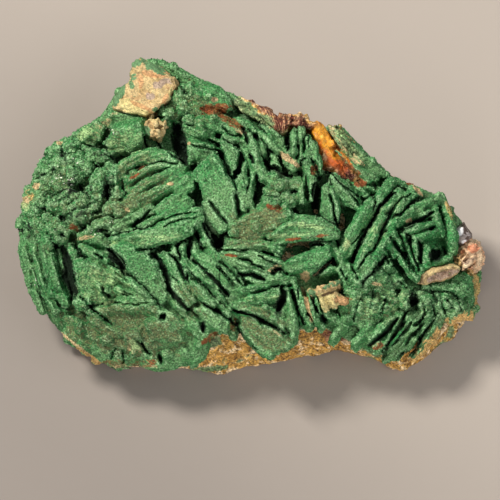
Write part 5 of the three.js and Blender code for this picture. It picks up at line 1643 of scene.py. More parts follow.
FRESH = spots(
    (25, -2, 6, 12, -32), (34, -5, 7, 7), (-20, -9, 9, 5, -20, 0.7), (-14, 2, 5, 8, 20, 0.6),
    (-38, -11, 4, 7, 10, 0.6), (14, -8, 4, 3, 20),
)
# places painted with shade: deep gaps and holes, and broad places darkened a little
SHADE_PAINTED_PLACES = spots(
    (-36, -11, 1.2, 5.0, 12), (-14, 14.6, 1.5, 3.4, 14), (-26.4, -9, 2.4, 0.7, -50),
    (13.1, 3.2, 0.6, 3.2), (6.3, -17.2, 0.8, 2.4, -14), (32.4, -17, 1.2, 1.2), (-17, -20.4, 0.7, 0.7),
    (18.2, -1.6, 0.6, 1.4), (-28.5, 4.8, 0.9, 1.6, -10), (-9.2, -22.4, 0.5, 1.0),
    (36.8, -8.2, 1.3, 1.2), (-26, -24, 11, 5, -8, 0.24), (-41, -16, 5, 12, 10, 0.16),
)
COAT_MARKS: tuple[Marks, ...] = (
    Marks("rust", spots(
        (-6.5, 21, 4.0, 1.1, 10), (-4, 18.6, 3.4, 0.8, -35, 0.8), (5.4, 1.2, 1.9, 0.9, -20, 0.8),
        (-3.5, -8.2, 1.6, 0.35, -8), (9, -4.9, 2.4, 0.4, 6), (14.2, -4.3, 1.6, 0.4, 10, 0.7),
        (-23, 7.4, 2.0, 0.4, 32), (-21.4, 9.2, 1.2, 0.35, 30, 0.9), (32.3, 6.6, 1.2, 0.9),
        (12.6, 8.6, 0.8, 1.0, 0, 0.8), (22.4, 6.1, 0.9, 0.6, -20), (19.6, 9.4, 3.4, 1.0, -46, 0.9),
        (21.2, 6.8, 1.8, 1.0, -40, 0.8), (-8, -24.6, 2.2, 0.9, 30, 0.7), (-3.2, -22, 0.9, 1.8, 0, 0.7),
        (25.4, -26, 1.2, 1.0, 0, 0.8), (18, -16.6, 1.7, 0.7, -12), (-27, -29.6, 2.6, 0.8, 0, 0.6),
        (-21, -29.4, 3.2, 1.0, 0, 0.6), (11.4, -17.4, 0.5, 2.2, 14, 0.8),
        (-35, -2.4, 1.6, 0.6, -30, 0.6),
    )),
    Marks("cream", spots(
        (-44.8, 2.5, 0.9, 1.1), (-42.4, 5.6, 0.7, 1.1, -30), (-38, 14.2, 1.0, 0.45),
        (-15.8, 6, 0.8, 0.4), (-24.2, 0.8, 0.6, 0.4, -30, 0.8), (-32, -4.6, 2.4, 0.45, 10, 0.8),
        (7.8, 10.8, 2.4, 0.6, -38), (33.6, 4.6, 0.4, 1.5, 40), (25, -13.8, 1.2, 0.35, -12, 0.8),
        (31.6, -1.2, 0.7, 0.4, 30), (11, -12, 1.0, 1.1, 0, 0.9), (11.4, -18.2, 0.5, 3.2, 18),
        (15.5, -16.2, 1.2, 1.8, 20), (19.2, -6, 0.6, 1.0, -20, 0.9), (-33, -27.2, 4.6, 0.4, -40, 0.9),
        (-24, -30.2, 5.0, 0.5, 0, 0.6), (4.8, -10.6, 1.6, 0.4, 25, 0.8),
        (5.6, -23.6, 1.6, 0.3, -35, 0.7), (-23, -26.4, 1.8, 1.4, -30, 0.5), (-7, 22.9, 0.7, 0.5),
        (-12, 14, 0.4, 0.4), (-2, 16.4, 0.8, 0.4, -30, 0.8), (19.6, 12.6, 4.4, 0.9, -46, 0.6),
        (16.8, 17, 2.4, 0.6, -40, 0.6), (3, 18.6, 3.6, 0.7, -40, 0.5),
        (-28.6, 18.2, 3.2, 0.7, 40, 0.5),
    )),
    Marks("lime", spots(
        (-32.4, 16.2, 1.6, 1.6, -30, 0.8), (-44.6, 1.6, 0.8, 1.4, 20, 0.8),
        (21, 12.4, 4.0, 0.5, -40, 0.8), (19, 14.6, 3.0, 0.5, -50, 0.8), (12, -2.4, 5.5, 0.6, -4, 0.7),
        (8, -4.2, 4.0, 0.4, 4, 0.8), (19.2, -6, 0.8, 1.3, -20, 0.8), (-30.6, -15.8, 2.6, 1.0, 0, 0.5),
        (-33, -13, 1.2, 2.4, 0, 0.5), (12, -14.8, 1.6, 0.7, 0, 0.8), (3, 19.6, 3.0, 0.4, -42, 0.7),
        (3, -16.6, 4.4, 0.6, 4, 0.5), (-20, -5, 8, 1.0, 8, 0.5), (-22.6, -26, 2.0, 1.2, -30, 0.7),
        (-24, 14, 4.0, 3.0, 0, 0.5), (-29.4, -14, 5.0, 4.0, 0, 0.5), (26, -2, 3.0, 7.0, -32, 0.4),
        (28, -18, 9.0, 4.0, 0, 0.35),
    )),
    Marks("amber", spots((18.6, 11.8, 0.5, 2.6, 40, 0.7))),
    Marks("ochre", spots(
        (37.2, -26.2, 7.6, 2.5, 45), (42.6, -22.0, 3.0, 2.2, 30), (45.2, -14, 0.9, 4.6, 6, 0.9),
        (-31, -29, 4.0, 0.6, -40), (-43.6, 4, 0.8, 2.0, 20, 0.6), (40, 0, 0.6, 2.4, 20, 0.7),
        (33, 6.6, 2.0, 0.5, -20, 0.8),
    )),
    # sparkle: the places of painted white glints
    Marks("sparkle", spots(
        (-28.3, 16, 1.6, 1.0), (-34, 10, 1.6, 1.2), (-37, 6.6, 2.6, 1.6), (-39, 10, 1.2, 1.0),
        (-27.8, -1.7, 1.0, 0.8), (-30.6, -3.6, 1.2, 0.8), (-43, -14, 1.0, 1.2),
    )),
)


@dataclass
class MalachiteBlades:
    """The crossing sheaves of green blades, in stretches along the face, with their grains.

    Attributes:
        palette: where the material comes from.
        voxel: size of the facets.
        keep: share of the facets that may stay, at least.
        cuts: where the stretches end along x.
        window: how far the stretches reach in y, and down and up in z.
        lumps: how many lumps make the coarse druse.
        grains: how many small crystals.
        sway: how far the gaps are bent.
        pebble, clump: size of the small and of the large bumps.
        druse_seed, lamina_seed, clump_seed: pick the patterns that are looked up more than once.
    """

    palette: Palette
    voxel: float = 0.25
    keep: float = 0.5
    cuts: tuple[float, ...] = (-60.0, -25.0, -6.0, 15.0, 60.0)
    window: tuple[float, float, float] = (60.0, -60.0, 40.0)
    lumps: int = 1500
    grains: int = 19000
    sway: float = 0.24
    pebble: float = 0.85
    clump: float = 1.5
    druse_seed: int = 200
    lamina_seed: int = 400
    clump_seed: int = 61

    def build(self) -> None:
        """Makes the body of the blades, carves it, strews the grains and cuts it into stretches."""
        solid = CarvedSolid("malachite_blades", "malachite_blades", self.voxel, "barite_matrix")
        body = solid.copy()
        self._druse_lumps(body.data)
        ClosedForms.plates(SMALL_PLATES, 300).add_to(body.data)
        shelf = np.array(SHELVES)
        middle = shelf[:, :3].copy()
        middle[:, 2] += FACE.ground(shelf[:, 0], shelf[:, 1])
        ClosedForms.lumps(middle, shelf[:, 3:6], 8, 16).add_to(body.data)
        solid.facets(body)
        gaps = CarvedSolid("slits", "malachite_blades", self.voxel)
        tool = gaps.show(bpy.data.meshes.new("slits"))
        ClosedForms.plates(SLITS, 340).add_to(tool.data)
        gaps.facets(tool)
        solid.cut(body, tool, "DIFFERENCE")
        solid.facets(body)
        solid.coarsen(body, self.keep)
        self._open_gaps(body)
        relief = Relief(Skin(body.data).places)
        self._carve(body, relief)
        self._grains(body.data, relief)
        for k, (low, high) in enumerate(zip(self.cuts, self.cuts[1:])):
            part = CarvedSolid(f"malachite_blades_{k + 1}", "malachite_blades", self.voxel)
            piece = part.show(body.data.copy())
            part.cut(piece, self._window(part, (low, high)), "INTERSECT")
            self._mend(piece.data)
            part.settle(piece, Mineral.MALACHITE, self.palette)
        bpy.data.objects.remove(body)

    def _mend(self, mesh: bpy.types.Mesh) -> None:
        """Gives the points made by a cut the values of their old neighbours, and shades the cut flat.

        Args:
            mesh: one stretch of the body; its own points hold 1 under the name own.
        """
        skin = Skin(mesh)
        count = len(mesh.vertices)
        known = skin.recall("own") > 0.5
        a, b = np.concatenate([skin.edges, skin.edges[:, ::-1]])[known[np.concatenate(skin.edges.T)]].T
        share = np.bincount(b, minlength=count)
        for name in [layer.name for layer in mesh.attributes if layer.data_type == "FLOAT"]:
            values = skin.recall(name)
            near = np.bincount(b, values[a], minlength=count) / np.maximum(share, 1)
            skin.note(name, np.where(known | (share == 0), values, near))
        sideways = np.abs(read_all(mesh.polygons, "normal", 3)[:, 0])
        mesh.polygons.foreach_set("use_smooth", sideways < 0.9999)

    def _window(self, part: CarvedSolid, window: tuple[float, float]) -> bpy.types.Object:
        """A box round the whole specimen between two places along the face's x.

        Args:
            part: the stretch that is cut out.
            window: where it begins and ends.

        Returns:
            The box.
        """
        wide, low, high = self.window
        corners = [(x, y, z) for x in window for y in (-wide, wide) for z in (low, high)]
        row = [((x + FACE.origin[0]) * MM, y * MM, z * MM) for x, y, z in corners]
        faces = [(0, 1, 3, 2), (4, 6, 7, 5), (0, 4, 5, 1), (2, 3, 7, 6), (0, 2, 6, 4), (1, 5, 7, 3)]
        mesh = bpy.data.meshes.new("window")
        mesh.from_pydata(row, [], faces)
        return part.show(mesh)

    def _druse_lumps(self, mesh: bpy.types.Mesh) -> None:
        """Adds rounded lumps where the druse is coarse.

        Args:
            mesh: what they are added to.
        """
        def weight(place: Array, facing: Array) -> Array:
            """More lumps in the patches of coarse druse, none on the underside."""
            return (self._coarse(place) + 0.02) * (facing[:, 2] > 0)

        place, facing = Scatter(mesh, 5).pick(self.lumps, weight)
        size = 0.45 + 0.6 * scramble(np.round(place * 50), 210)
        ClosedForms.lumps(place + facing * 0.15, size).add_to(mesh)

    def _coarse(self, places: Array) -> Array:
        """How coarse the druse is at each place, from 0 to 1."""
        return patches(places, DRUSE, self.druse_seed)

    def _gap_depth(self, places: Array) -> Array:
        """How deep the gaps are at each place.

        The places are first moved about a little, so that the gaps run unevenly.

        Args:
            places: on the face.

        Returns:
            The depth, 0 outside the gaps.
        """
        bend = np.stack([drift(places, 1.2, 501), drift(places, 1.2, 502)], axis=1)
        spots = places[:, :2] + self.sway * bend
        deep = np.zeros(len(places))
        for gap in GAPS:
            deep = np.maximum(deep, gap.mask(spots) * gap.deep)
        return deep

    def _open_gaps(self, body: bpy.types.Object) -> None:
        """Sinks the surface straight down along the gaps, but never under the rock.

        Args:
            body: all the blades.
        """
        skin = Skin(body.data)
        places = skin.places.copy()
        deep = self._gap_depth(places)
        floor = FACE.ground(places[:, 0], places[:, 1]) + 0.5
        room = np.clip(places[:, 2] - floor, 0, None)
        places[:, 2] -= np.minimum(deep * (skin.facing[:, 2] > -0.2), room)
        skin.write(places)

    def _carve(self, body: bpy.types.Object, relief: Relief) -> None:
        """Gives the body its fine surface and keeps the values that the finish reads.

        Args:
            body: all the blades.
            relief: the highest surface over the whole face.
        """
        skin = Skin(body.data)
        places = skin.places
        coarse = self._coarse(places)
        dome, label = domes(places, self.pebble, 16)
        dome = (dome * (0.5 + label) - 0.55) * (0.07 + 0.25 * coarse)
        fine = 0.12 * layered(places, 3.0, 11) + 0.1 * layered(places, 0.5, 20, 2, 0.8)
        plates = Grain.of(places, LAMINAE, self.lamina_seed).relief(places[:, 2], 431)
        wall = ease(skin.facing[:, 2], 0.1, -0.3)
        clump, _ = domes(places, self.clump, self.clump_seed, 1.4)
        clump = clump * (wall * 0.5 + coarse * 0.3)
        skin.push((fine + dome + plates + 0.05) * (1 - 0.4 * wall) + clump)
        smooth(body.data, True)
        self._note(skin, skin.places, skin.facing, skin.average(skin.roundness(8, 0.4), 1), relief)
        skin.note("own", np.ones(len(places)))

    def _note(self, skin: Skin, places: Array, facing: Array, rim: Array, relief: Relief) -> None:
        """Keeps the values that the finish reads.

        Args:
            skin: where they are kept.
            places: on the face, one for each vertex.
            facing: which way each faces.
            rim: how far each stands out.
            relief: the highest surface over the whole face.
        """
        grain = Grain.of(places, LAMINAE, self.lamina_seed)
        skin.note("along", grain.along)
        skin.note("across", grain.across)
        skin.note("lie", ease(grain.share, 0.0, 0.4))
        deep = self._gap_depth(places)
        near, _ = pebbles(places, self.clump, self.clump_seed)
        # painted shade between the large lumps of the coarse druse
        shade_between_lumps = ease(near + 0.6 * layered(places, 4.0, 63), 0.72, 0.95) * self._coarse(places)
        dark = np.maximum(patches(places, SHADE_PAINTED_PLACES, 230), shade_between_lumps)
        # gap: painted shade along the gaps and in the shaded places
        skin.note("gap", np.maximum(ease(deep, 0.3, 2.4) * 0.78, dark))
        # shelter: read by the finish as painted shade
        skin.note("shelter", relief.shelter(places, facing))
        # rim: read by the finish for the painted highlight on the edges
        skin.note("rim", rim)
        up = np.clip(facing[:, 2], 0, 1)
        fresh = patches(places, FRESH, 240)
        # faces turned up are made sage: partly dust, partly painted light from above
        skin.note("dust_and_top_light", np.clip(0.6 * up + 0.35 * layered(places, 8, 51) - 0.02 - 0.28 * fresh, 0, 1))
        skin.note("dusty", patches(places, DUSTY, 250) * up)
        for k, mark in enumerate(COAT_MARKS):
            skin.note(mark.name, patches(places, mark.places, 70 + 40 * k))

    def _grains(self, mesh: bpy.types.Mesh, relief: Relief) -> None:
        """Strews small crystals over the blades: each a bipyramid with four sides, turned at random.

        Args:
            mesh: all the blades.
            relief: the highest surface over the whole face.
        """
        def weight(place: Array, facing: Array) -> Array:
            """Most where the druse is coarse, fewer elsewhere, none on the underside."""
            return (facing[:, 2] > -0.1) * (0.4 + self._coarse(place))

        place, facing = Scatter(mesh, 20).pick(self.grains, weight)
        draw = np.random.default_rng(40)
        coarse = 0.75 + 0.45 * self._coarse(place)[:, None, None]
        size = (0.11 + 0.14 * draw.random((self.grains, 1, 1)) ** 1.5) * coarse
        axis_a = draw.normal(size=(self.grains, 3))
        axis_a /= np.linalg.norm(axis_a, axis=1)[:, None]
        axis_b = np.cross(axis_a, draw.normal(size=(self.grains, 3)))
        axis_b /= np.linalg.norm(axis_b, axis=1)[:, None]
        turn = np.stack([axis_a, axis_b, np.cross(axis_a, axis_b)], axis=1)
        tips = np.array([[1, 0, 0], [0, 1, 0], [-1, 0, 0], [0, -1, 0], [0, 0, 1.5], [0, 0, -1.5]])
        points = place[:, None, :] + facing[:, None, :] * 0.06 + (tips[None] @ turn) * size
        upper = [(0, 1, 4), (1, 2, 4), (2, 3, 4), (3, 0, 4)]
        lower = [(1, 0, 5), (2, 1, 5), (3, 2, 5), (0, 3, 5)]
        sides = np.array(upper + lower)
        faces = (sides[None] + (np.arange(self.grains) * 6)[:, None, None]).reshape(-1, 3)
        part = CarvedSolid("malachite_grains", "malachite_blades", self.voxel)
        crystals = bpy.data.meshes.new(part.name)
        crystals.from_pydata(FACE.to_row(points.reshape(-1, 3)).tolist(), [], faces.tolist())
        piece = part.show(crystals)
        # each grain takes a random share of the painted edge highlight
        rim = np.repeat(draw.random(self.grains), 6)
        self._note(Skin(crystals), np.repeat(place, 6, axis=0), np.repeat(facing, 6, axis=0), rim, relief)
        part.settle(piece, Mineral.MALACHITE, self.palette)


@dataclass
class BariteMatrix:
    """The rusty rock under the blades, with its rim plates and the amber hollow.

    Attributes:
        palette: where the material comes from.
        voxel, rim_voxel: size of the facets of the rock and of its rim.
        keep: share of the rock's facets that may stay, at least.
        amber, glow, rust, green: where these colours are.
        rim_rows: the thin plates of the rim.
        rays, rays_from: where fibres spread from one point, and the point.
        ledge_angle, glass_angle: direction of the ledges in the rock and in the amber.
        green_seed: picks the outline of the green places, which is looked up twice.
    """

    palette: Palette
    voxel: float = 0.4
    keep: float = 0.4
    amber: tuple[Patch, ...] = spots(
        (15, 15.2, 3.2, 2.6, -30),
        (16.8, 12.2, 3.4, 3.0, -50),
        (18, 9.8, 1.8, 1.8, 20, 0.6),
    )
    glow: tuple[Patch, ...] = spots((14.6, 16, 3.0, 2.4, -40), (16.2, 12.8, 1.0, 2.2, 30, 0.7))
    rim_voxel: float = 0.2
    rim_rows: tuple[PlateRow, ...] = (
        PlateRow((-2.4, 23.6, 5.2, 19.2), (-2.6, 21.2, 4.2, 17.2), 5, 5.8, 0.4, 2.0),
        PlateRow((5.6, 19.4, 11.8, 19.4), (6.4, 17.8, 11.8, 17.8), 4, 6.6, 0.6, 2.0),
        PlateRow((7.0, 19.8, 7.0, 16.8), (11.2, 19.8, 10.6, 17.2), 5, 6.2, 0.5, 2.0),
        PlateRow((16.8, 17.2, 22.2, 8.4), (17.4, 17.8, 23.2, 8.9), 3, 5.6, 0.5, 1.0),
        PlateRow((18.0, 10.6, 20.8, 6.0), (19.8, 10.6, 22.6, 6.4), 4, 5.4, 0.5, 1.0),
    )
    rust: tuple[Patch, ...] = spots(
        (2.6, 21.8, 5.4, 1.1, -38),
        (9, 18.4, 3.8, 1.4, -6),
        (6.4, 18.0, 1.4, 2.0, -20),
        (18.6, 9.0, 1.9, 3.4, 35),
        (18, -23.4, 4.6, 2.0, 0, 0.9),
        (-23, -29.5, 6.0, 1.4, 0, 0.5),
        (39, -21.6, 2.4, 1.2, 0, 0.4),
    )
    green: tuple[Patch, ...] = spots(
        (0.0, 20.2, 5.4, 1.5, -38),
        (4.4, 17.8, 2.6, 1.2, -40, 0.9),
        (10.6, 17.2, 1.6, 0.8, 0, 0.7),
        (19.4, 13.6, 6.0, 1.3, -56),
        (24, -27.2, 2.4, 0.8, -20, 0.8),
        (-7.4, -25.6, 2.4, 1.0, 20, 0.8),
        (-8, -30.8, 4.4, 0.6, 8, 0.8),
    )
    rays: Patch = Patch(5, 19, 12, 7, -20)
    rays_from: tuple[float, float] = (6.5, 14.0)
    ledge_angle: float = 12.0
    glass_angle: float = -55.0
    green_seed: int = 180

    def build(self) -> None:
        """Makes the rock, and the thin plates of its rim as a finer piece."""
        solid = CarvedSolid("barite_matrix_rock", "barite_matrix", self.voxel, "malachite_blades")
        rock = solid.copy()
        solid.facets(rock)
        solid.coarsen(rock, self.keep)
        self._dress(solid, rock, Carving(
            wave=0.5, wave_size=5.0, lump=0.45, lump_size=1.5, grain=0.25, grain_size=0.8, seed=23,
            ledge=0.9, ledge_size=1.6, ledge_angle=self.ledge_angle,
        ))
        solid = CarvedSolid("barite_matrix_rim", "barite_matrix", self.rim_voxel)
        rim = solid.show(bpy.data.meshes.new(solid.name))
        ClosedForms.plates(self.rim_rows, 720, 19, 8).add_to(rim.data)
        solid.facets(rim)
        self._dress(solid, rim, Carving(
            wave=0.2, wave_size=2.0, lump=0.15, lump_size=0.8, grain=0.3, seed=27,
            ledge=0.9, ledge_size=0.9, ledge_angle=-48,
        ))

    def _dress(self, solid: CarvedSolid, piece: bpy.types.Object, carving: Carving) -> None:
        """Carves one piece of the rock and keeps the values that the finish reads.

        Args:
            solid: names the piece and its node.
            piece: what is carved.
            carving: its relief.
        """
        skin = Skin(piece.data)
        places = skin.places
        moss = ease(patches(places, self.green, self.green_seed), 0.2, 0.6)
        glass = patches(places, self.amber, 150) * (1 - moss)
        rays = self.rays.mask(places, 160) > 0.3
        away = places[:, :2] - np.array(self.rays_from)
        along, across = turned(places, self.ledge_angle)
        along[rays] = np.linalg.norm(away[rays], axis=1)
        across[rays] = np.arctan2(away[rays, 1], away[rays, 0]) * 6.0
        glassy = glass > 0.4
        along[glassy], across[glassy] = turned(places[glassy], self.glass_angle)
        walk = np.stack([along / 3.0, across / 0.7, places[:, 2] / 3], axis=1)
        fibre = 0.35 * drift(walk, 1.0, 166) * rays
        free = ease(FACE.to_row(places)[:, 2] / MM, 0.1, 1.2)
        height = carving.height(places) * (1 - 0.8 * glass) * (1 - 0.4 * rays)
        skin.push((height + fibre + 0.5 * ledges(places, 0.8, self.glass_angle, 167) * glass) * free)
        places = skin.places
        skin.note("along", along)
        skin.note("across", across)
        skin.note("lie", 0.4 + 0.6 * np.maximum(rays, glassy))
        skin.note("amber", glass)
        skin.note("glow", patches(places, self.glow, 155))
        top = ease(places[:, 2], -13.0, -8.0)
        skin.note("rust", patches(places, self.rust, 170) * (0.3 + 0.7 * top))
        coat = ease(layered(places, 5, 190), 0.25, 0.6) * 0.6 * (1 - glass)
        skin.note("green", np.maximum(coat, patches(places, self.green, self.green_seed)))
        skin.note("rim", skin.average(skin.roundness(8, 0.6), 1))
        # shelter: read by the finish as painted shade
        skin.note("shelter", Relief(places).shelter(places, skin.facing))
        smooth(piece.data, True)
        solid.settle(piece, Mineral.MATRIX, self.palette)


@dataclass(frozen=True)
class BareCrystal:
    """A barite or ore crystal that shows without the green coat.

    Attributes:
        node: its CAD node.
        mineral: what it is made of.
        voxel: size of its facets.
        carving: its relief.
        coat: how much green it carries low on its sides.
        marks: its stains.
        spikes: thin broken plates that stand out of it.
    """

    node: str
    mineral: Mineral
    voxel: float
    carving: Carving
    coat: float = 0.5
    marks: tuple[Marks, ...] = ()
    spikes: tuple[PlateRow, ...] = ()

    def build(self, palette: Palette) -> None:
        """Makes the crystal.

        Args:
            palette: where the material comes from.
        """
        solid = CarvedSolid(f"{self.node}_crystal", self.node, self.voxel)
        piece = solid.copy()
        if self.spikes:
            ClosedForms.plates(self.spikes, 700, 9, 6).add_to(piece.data)
        solid.facets(piece)
        skin = Skin(piece.data)
        skin.push(self.carving.height(skin.places))
        side = 1 - np.clip(skin.facing[:, 2] * 1.4, 0, 1)
        kinds = {name: 0 * side for name in ("green", "stain", "lilac", "yellow", "dark")}
        for k, mark in enumerate(self.marks):
            kinds[mark.name] = patches(skin.places, mark.places, 600 + 7 * k)
        kinds["green"] = np.maximum(kinds["green"], self.coat * side)
        kinds["rim"] = skin.average(skin.roundness(10, 0.5), 1)
        for name, values in kinds.items():
            skin.note(name, values)
        smooth(piece.data, True)
        solid.settle(piece, self.mineral, palette)


BLOCK_MARKS: tuple[Marks, ...] = (
    Marks("green", spots(
        (-23.5, 25.7, 0.5, 1.0, 20, 0.8), (-23.0, 27.4, 0.5, 0.8, -20, 0.8), (-18.6, 20.8, 1.0, 0.6),
        (-16.8, 21.3, 1.0, 0.6), (-25.6, 24.6, 2.6, 0.7, 62), (-22.6, 30.4, 1.6, 1.2),
        (-19, 29.3, 2.4, 0.8, -28), (-26.6, 22.6, 0.8, 1.2),
    )),
    Marks("stain", spots(
        (-19.4, 27.8, 3.4, 0.5, -8), (-21.6, 26.2, 0.6, 1.6), (-21, 21.2, 3.0, 0.5, -25),
        (-16.6, 23, 0.5, 1.6, -30),
    )),
    Marks("lilac", spots((-19.6, 23.3, 0.9, 0.8), (-17.6, 25.8, 1.6, 0.9, 20))),
    Marks("yellow", spots((-22.4, 20.9, 3.6, 1.3, -20), (-15.6, 24.6, 0.5, 1.8, -20))),
)
TIP_MARKS: tuple[Marks, ...] = (
    Marks("yellow", spots((-18.4, 18.4, 1.6, 0.9, 0, 0.6))),
    Marks("green", spots((-20.6, 15.8, 1, 1.6, 0, 0.8))),
)
BLADE_MARKS: tuple[Marks, ...] = (
    Marks("dark", spots((37.2, -12.4, 4.6, 1.4, 17, 0.5))),
    Marks("lilac", spots((38, -12.2, 3.4, 0.8, 17, 0.9))),
)
CLUSTER_MARKS: tuple[Marks, ...] = (
    Marks("yellow", spots((15, -17.4, 3.4, 2.4))),
    Marks("stain", spots((18.4, -17.2, 1.8, 0.9, -20), (14.6, -14.2, 3.4, 0.4, 17, 0.5))),
    Marks("green", spots(
        (13.2, -17.4, 0.6, 1.6, 20, 0.9), (16.2, -19.4, 1.6, 0.6, 20, 0.9),
        (17, -13.6, 2.4, 0.6, 20, 0.7), (12.4, -15.4, 1.2, 0.6, 0, 0.7),
    )),
    Marks("dark", spots((15.2, -15.8, 2.4, 0.3, 17, 0.7))),
)
KNOB_MARKS: tuple[Marks, ...] = (
    Marks("stain", spots((44.6, -6.8, 1.2, 0.8, 30, 0.8), (42.4, -7.4, 0.8, 0.6, 0, 0.7))),
    Marks("lilac", spots((43.4, -9.3, 1.6, 0.5, 20, 0.7), (45, -8.4, 0.5, 0.8, 0, 0.6))),
    Marks("yellow", spots((41, -9.6, 1.4, 2.0), (44, -12.6, 1.2, 1.6))),
)
GALENA_MARKS: tuple[Marks, ...] = (
    # lilac: the places of the painted glint
    Marks("lilac", spots((41.4, -3.4, 0.9, 1.2), (42.8, -5.6, 0.5, 0.4))),
)
TIP_SPLINTERS: tuple[PlateRow, ...] = (
    PlateRow((-20.8, 16.8, -19.4, 19.8), (-17.4, 15.6, -16.4, 18.6), 3, 8.8, 0.6, 4.0),
    PlateRow((-20.9, 18.6, -16.2, 17.4), (-20.4, 17, -16.8, 16.0), 2, 8.6, 0.6, 4.0),
)
CLUSTER_SHARDS: tuple[PlateRow, ...] = (
    PlateRow((13.8, -16.4, 15.4, -19.4), (16.2, -15.6, 17.0, -18.6), 2, 7.4, 1.1, 3.5),
    PlateRow((15.8, -16.4, 20.0, -17.8), (15.8, -16.4, 20.0, -17.8), 1, 7.4, 1.2, 3.5),
)
KNOB_CRAGS: tuple[PlateRow, ...] = (
    PlateRow((41.4, -10.4, 45.4, -5.6), (43.2, -12.2, 46.2, -8.6), 3, 5.4, 0.8, 0.0),
    PlateRow((42.0, -6.0, 45.6, -9.8), (41.0, -8.0, 44.6, -12.4), 2, 5.2, 0.7, 0.0),
)
BLOCKY = Carving(
    wave=0.3, wave_size=3.0, lump=0.1, lump_size=1.2, grain=0.16, seed=41,
    ledge=1.1, ledge_size=1.7, ledge_angle=-34,
)
FLAKY = Carving(
    wave=0.2, wave_size=2.0, lump=0.1, lump_size=0.9, grain=0.15, seed=43,
    ledge=0.6, ledge_size=0.9, ledge_angle=-60,
)
BLADED = Carving(
    wave=0.12, wave_size=2.0, lump=0.06, lump_size=0.9, grain=0.1, seed=45,
    ledge=0.3, ledge_size=0.8, ledge_angle=17,
)
LUMPY = Carving(
    wave=0.2, wave_size=3.0, lump=0.2, lump_size=0.9, grain=0.25, seed=51,
    ledge=0.8, ledge_size=1.0, ledge_angle=35,
)
METALLIC = Carving(
    wave=0.08, wave_size=2.0, lump=0.05, lump_size=1.0, grain=0.03, seed=47,
    ledge=0.2, ledge_size=1.0, ledge_angle=20,
)
BARE_CRYSTALS: tuple[BareCrystal, ...] = (
    BareCrystal("corner_block", Mineral.BARITE, 0.2, BLOCKY, 0.6, BLOCK_MARKS),
    BareCrystal("broken_tip", Mineral.BARITE, 0.16, FLAKY, 0.3, TIP_MARKS, TIP_SPLINTERS),
    BareCrystal("tan_blade", Mineral.BARITE, 0.18, BLADED, 0.3, BLADE_MARKS),
    BareCrystal("broken_cluster", Mineral.BARITE, 0.18, FLAKY, 0.4, CLUSTER_MARKS, CLUSTER_SHARDS),
    BareCrystal("pink_knob", Mineral.PINK, 0.2, LUMPY, 0.1, KNOB_MARKS, KNOB_CRAGS),
    BareCrystal("galena_grain", Mineral.GALENA, 0.16, METALLIC, 0.0, GALENA_MARKS),
)


@dataclass(frozen=True)
class Lamp:
    """A square soft light that faces the specimen.

    Attributes:
        name: its name.
        spot: where it hangs, in metres.
        size: its side, in metres.
        power: its power, in watts.
        colour: its colour.
        aim: what it faces, in metres.
    """

    name: str
    spot: Colour
    size: float
    power: float
    colour: Colour
    aim: Colour = (0.0, 0.0, 0.015)

    def hang(self) -> None:
        """Puts the light in the scene."""
        data = bpy.data.lights.new(self.name, "AREA")
        data.size = self.size
        data.energy = self.power
        data.color = self.colour
        lamp = bpy.data.objects.new(self.name, data)
        lamp.location = self.spot
        way = Vector(self.aim) - Vector(self.spot)
        lamp.rotation_euler = way.to_track_quat("-Z", "Y").to_euler()
        bpy.context.scene.collection.objects.link(lamp)


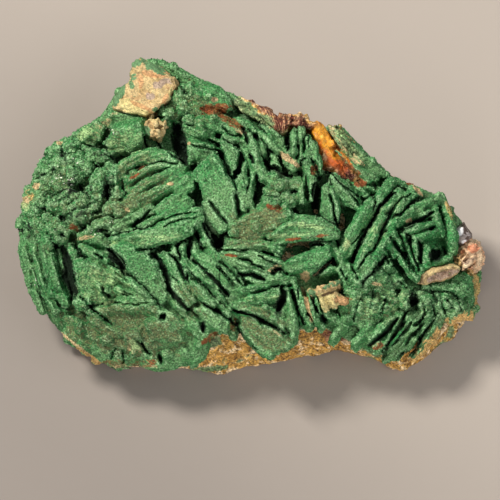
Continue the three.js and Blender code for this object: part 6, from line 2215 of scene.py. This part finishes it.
@dataclass
class Studio:
    """Floor, lights and camera.

    Attributes:
        view_width: what the picture spans at the specimen.
        distance: camera distance, in metres; long, because the face was drawn without perspective.
        aim: the middle of the picture on the face.
        sensor: width of the camera's sensor.
        clip: nearest and farthest place that the camera sees, in metres.
        lamps: the lights.
        sky, sky_strength: the even light from all round.
        floor_half, floor_squares, floor_drop: half the floor's side in metres, its squares each way, and
            how far it lies under the base in metres.
    """

    view_width: float = 99.0
    distance: float = 1.5
    aim: tuple[float, float, float] = (0.1, -7.1, -3.0)
    sensor: float = 36.0
    clip: tuple[float, float] = (0.05, 20.0)
    lamps: tuple[Lamp, ...] = (
        Lamp("key", (-0.30, 0.20, 0.48), 0.14, 4.4, (1.0, 0.97, 0.92)),
        Lamp("fill", (0.45, -0.20, 0.45), 0.5, 1.3, (0.97, 0.98, 1.0)),
        Lamp("front", (-0.10, -0.50, 0.25), 0.3, 1.5, (1.0, 0.97, 0.94)),
    )
    sky: Colour = (0.93, 0.95, 1.0, 1.0)
    sky_strength: float = 0.28
    floor_half: float = 1.0
    floor_squares: int = 8
    floor_drop: float = 0.00005

    def build(self) -> None:
        """Makes the floor, the lights and the camera."""
        self._floor()
        for lamp in self.lamps:
            lamp.hang()
        self._sky()
        self._camera()

    def _floor(self) -> None:
        """A wide flat sheet just under the base: a grid of two parameters, x and y."""
        row = self.floor_squares + 1
        side = np.linspace(-self.floor_half, self.floor_half, row)
        x, y = np.meshgrid(side, side)
        co = np.stack([x.ravel(), y.ravel(), np.full(x.size, -self.floor_drop)], axis=1)
        i, j = np.meshgrid(np.arange(self.floor_squares), np.arange(self.floor_squares))
        a = (j * row + i).ravel()
        faces = np.stack([a, a + 1, a + row + 1, a + row], axis=1)
        mesh = bpy.data.meshes.new("floor")
        mesh.from_pydata(co.tolist(), [], faces.tolist())
        mesh.materials.append(FloorFinish().make())
        floor = bpy.data.objects.new("floor", mesh)
        bpy.context.scene.collection.objects.link(floor)

    def _sky(self) -> None:
        """Even dim light from all round."""
        world = bpy.data.worlds.new("studio")
        world.use_nodes = True
        back = world.node_tree.nodes["Background"]
        back.inputs["Color"].default_value = self.sky
        back.inputs["Strength"].default_value = self.sky_strength
        bpy.context.scene.world = world
        bpy.context.scene.view_settings.view_transform = "Standard"

    def _camera(self) -> None:
        """A long lens square to the drawn face."""
        data = bpy.data.cameras.new("camera")
        data.sensor_width = self.sensor
        data.lens = self.sensor * self.distance / (self.view_width * MM)
        data.clip_start, data.clip_end = self.clip
        camera = bpy.data.objects.new("camera", data)
        target = Vector(FACE.to_row(np.array([self.aim]))[0])
        camera.location = target + FACE.viewer() * self.distance
        camera.rotation_mode = "QUATERNION"
        camera.rotation_quaternion = (-FACE.viewer()).to_track_quat("-Z", "Y")
        bpy.context.scene.collection.objects.link(camera)
        bpy.context.scene.camera = camera


def main() -> None:
    """Builds the studio and then each piece of the specimen, which settle reports."""
    logging.basicConfig(level=logging.INFO, format="%(name)s %(message)s")
    Studio().build()
    palette = Palette()
    MalachiteBlades(palette).build()
    BariteMatrix(palette).build()
    for crystal in BARE_CRYSTALS:
        crystal.build(palette)


if __name__ == "__main__":
    main()
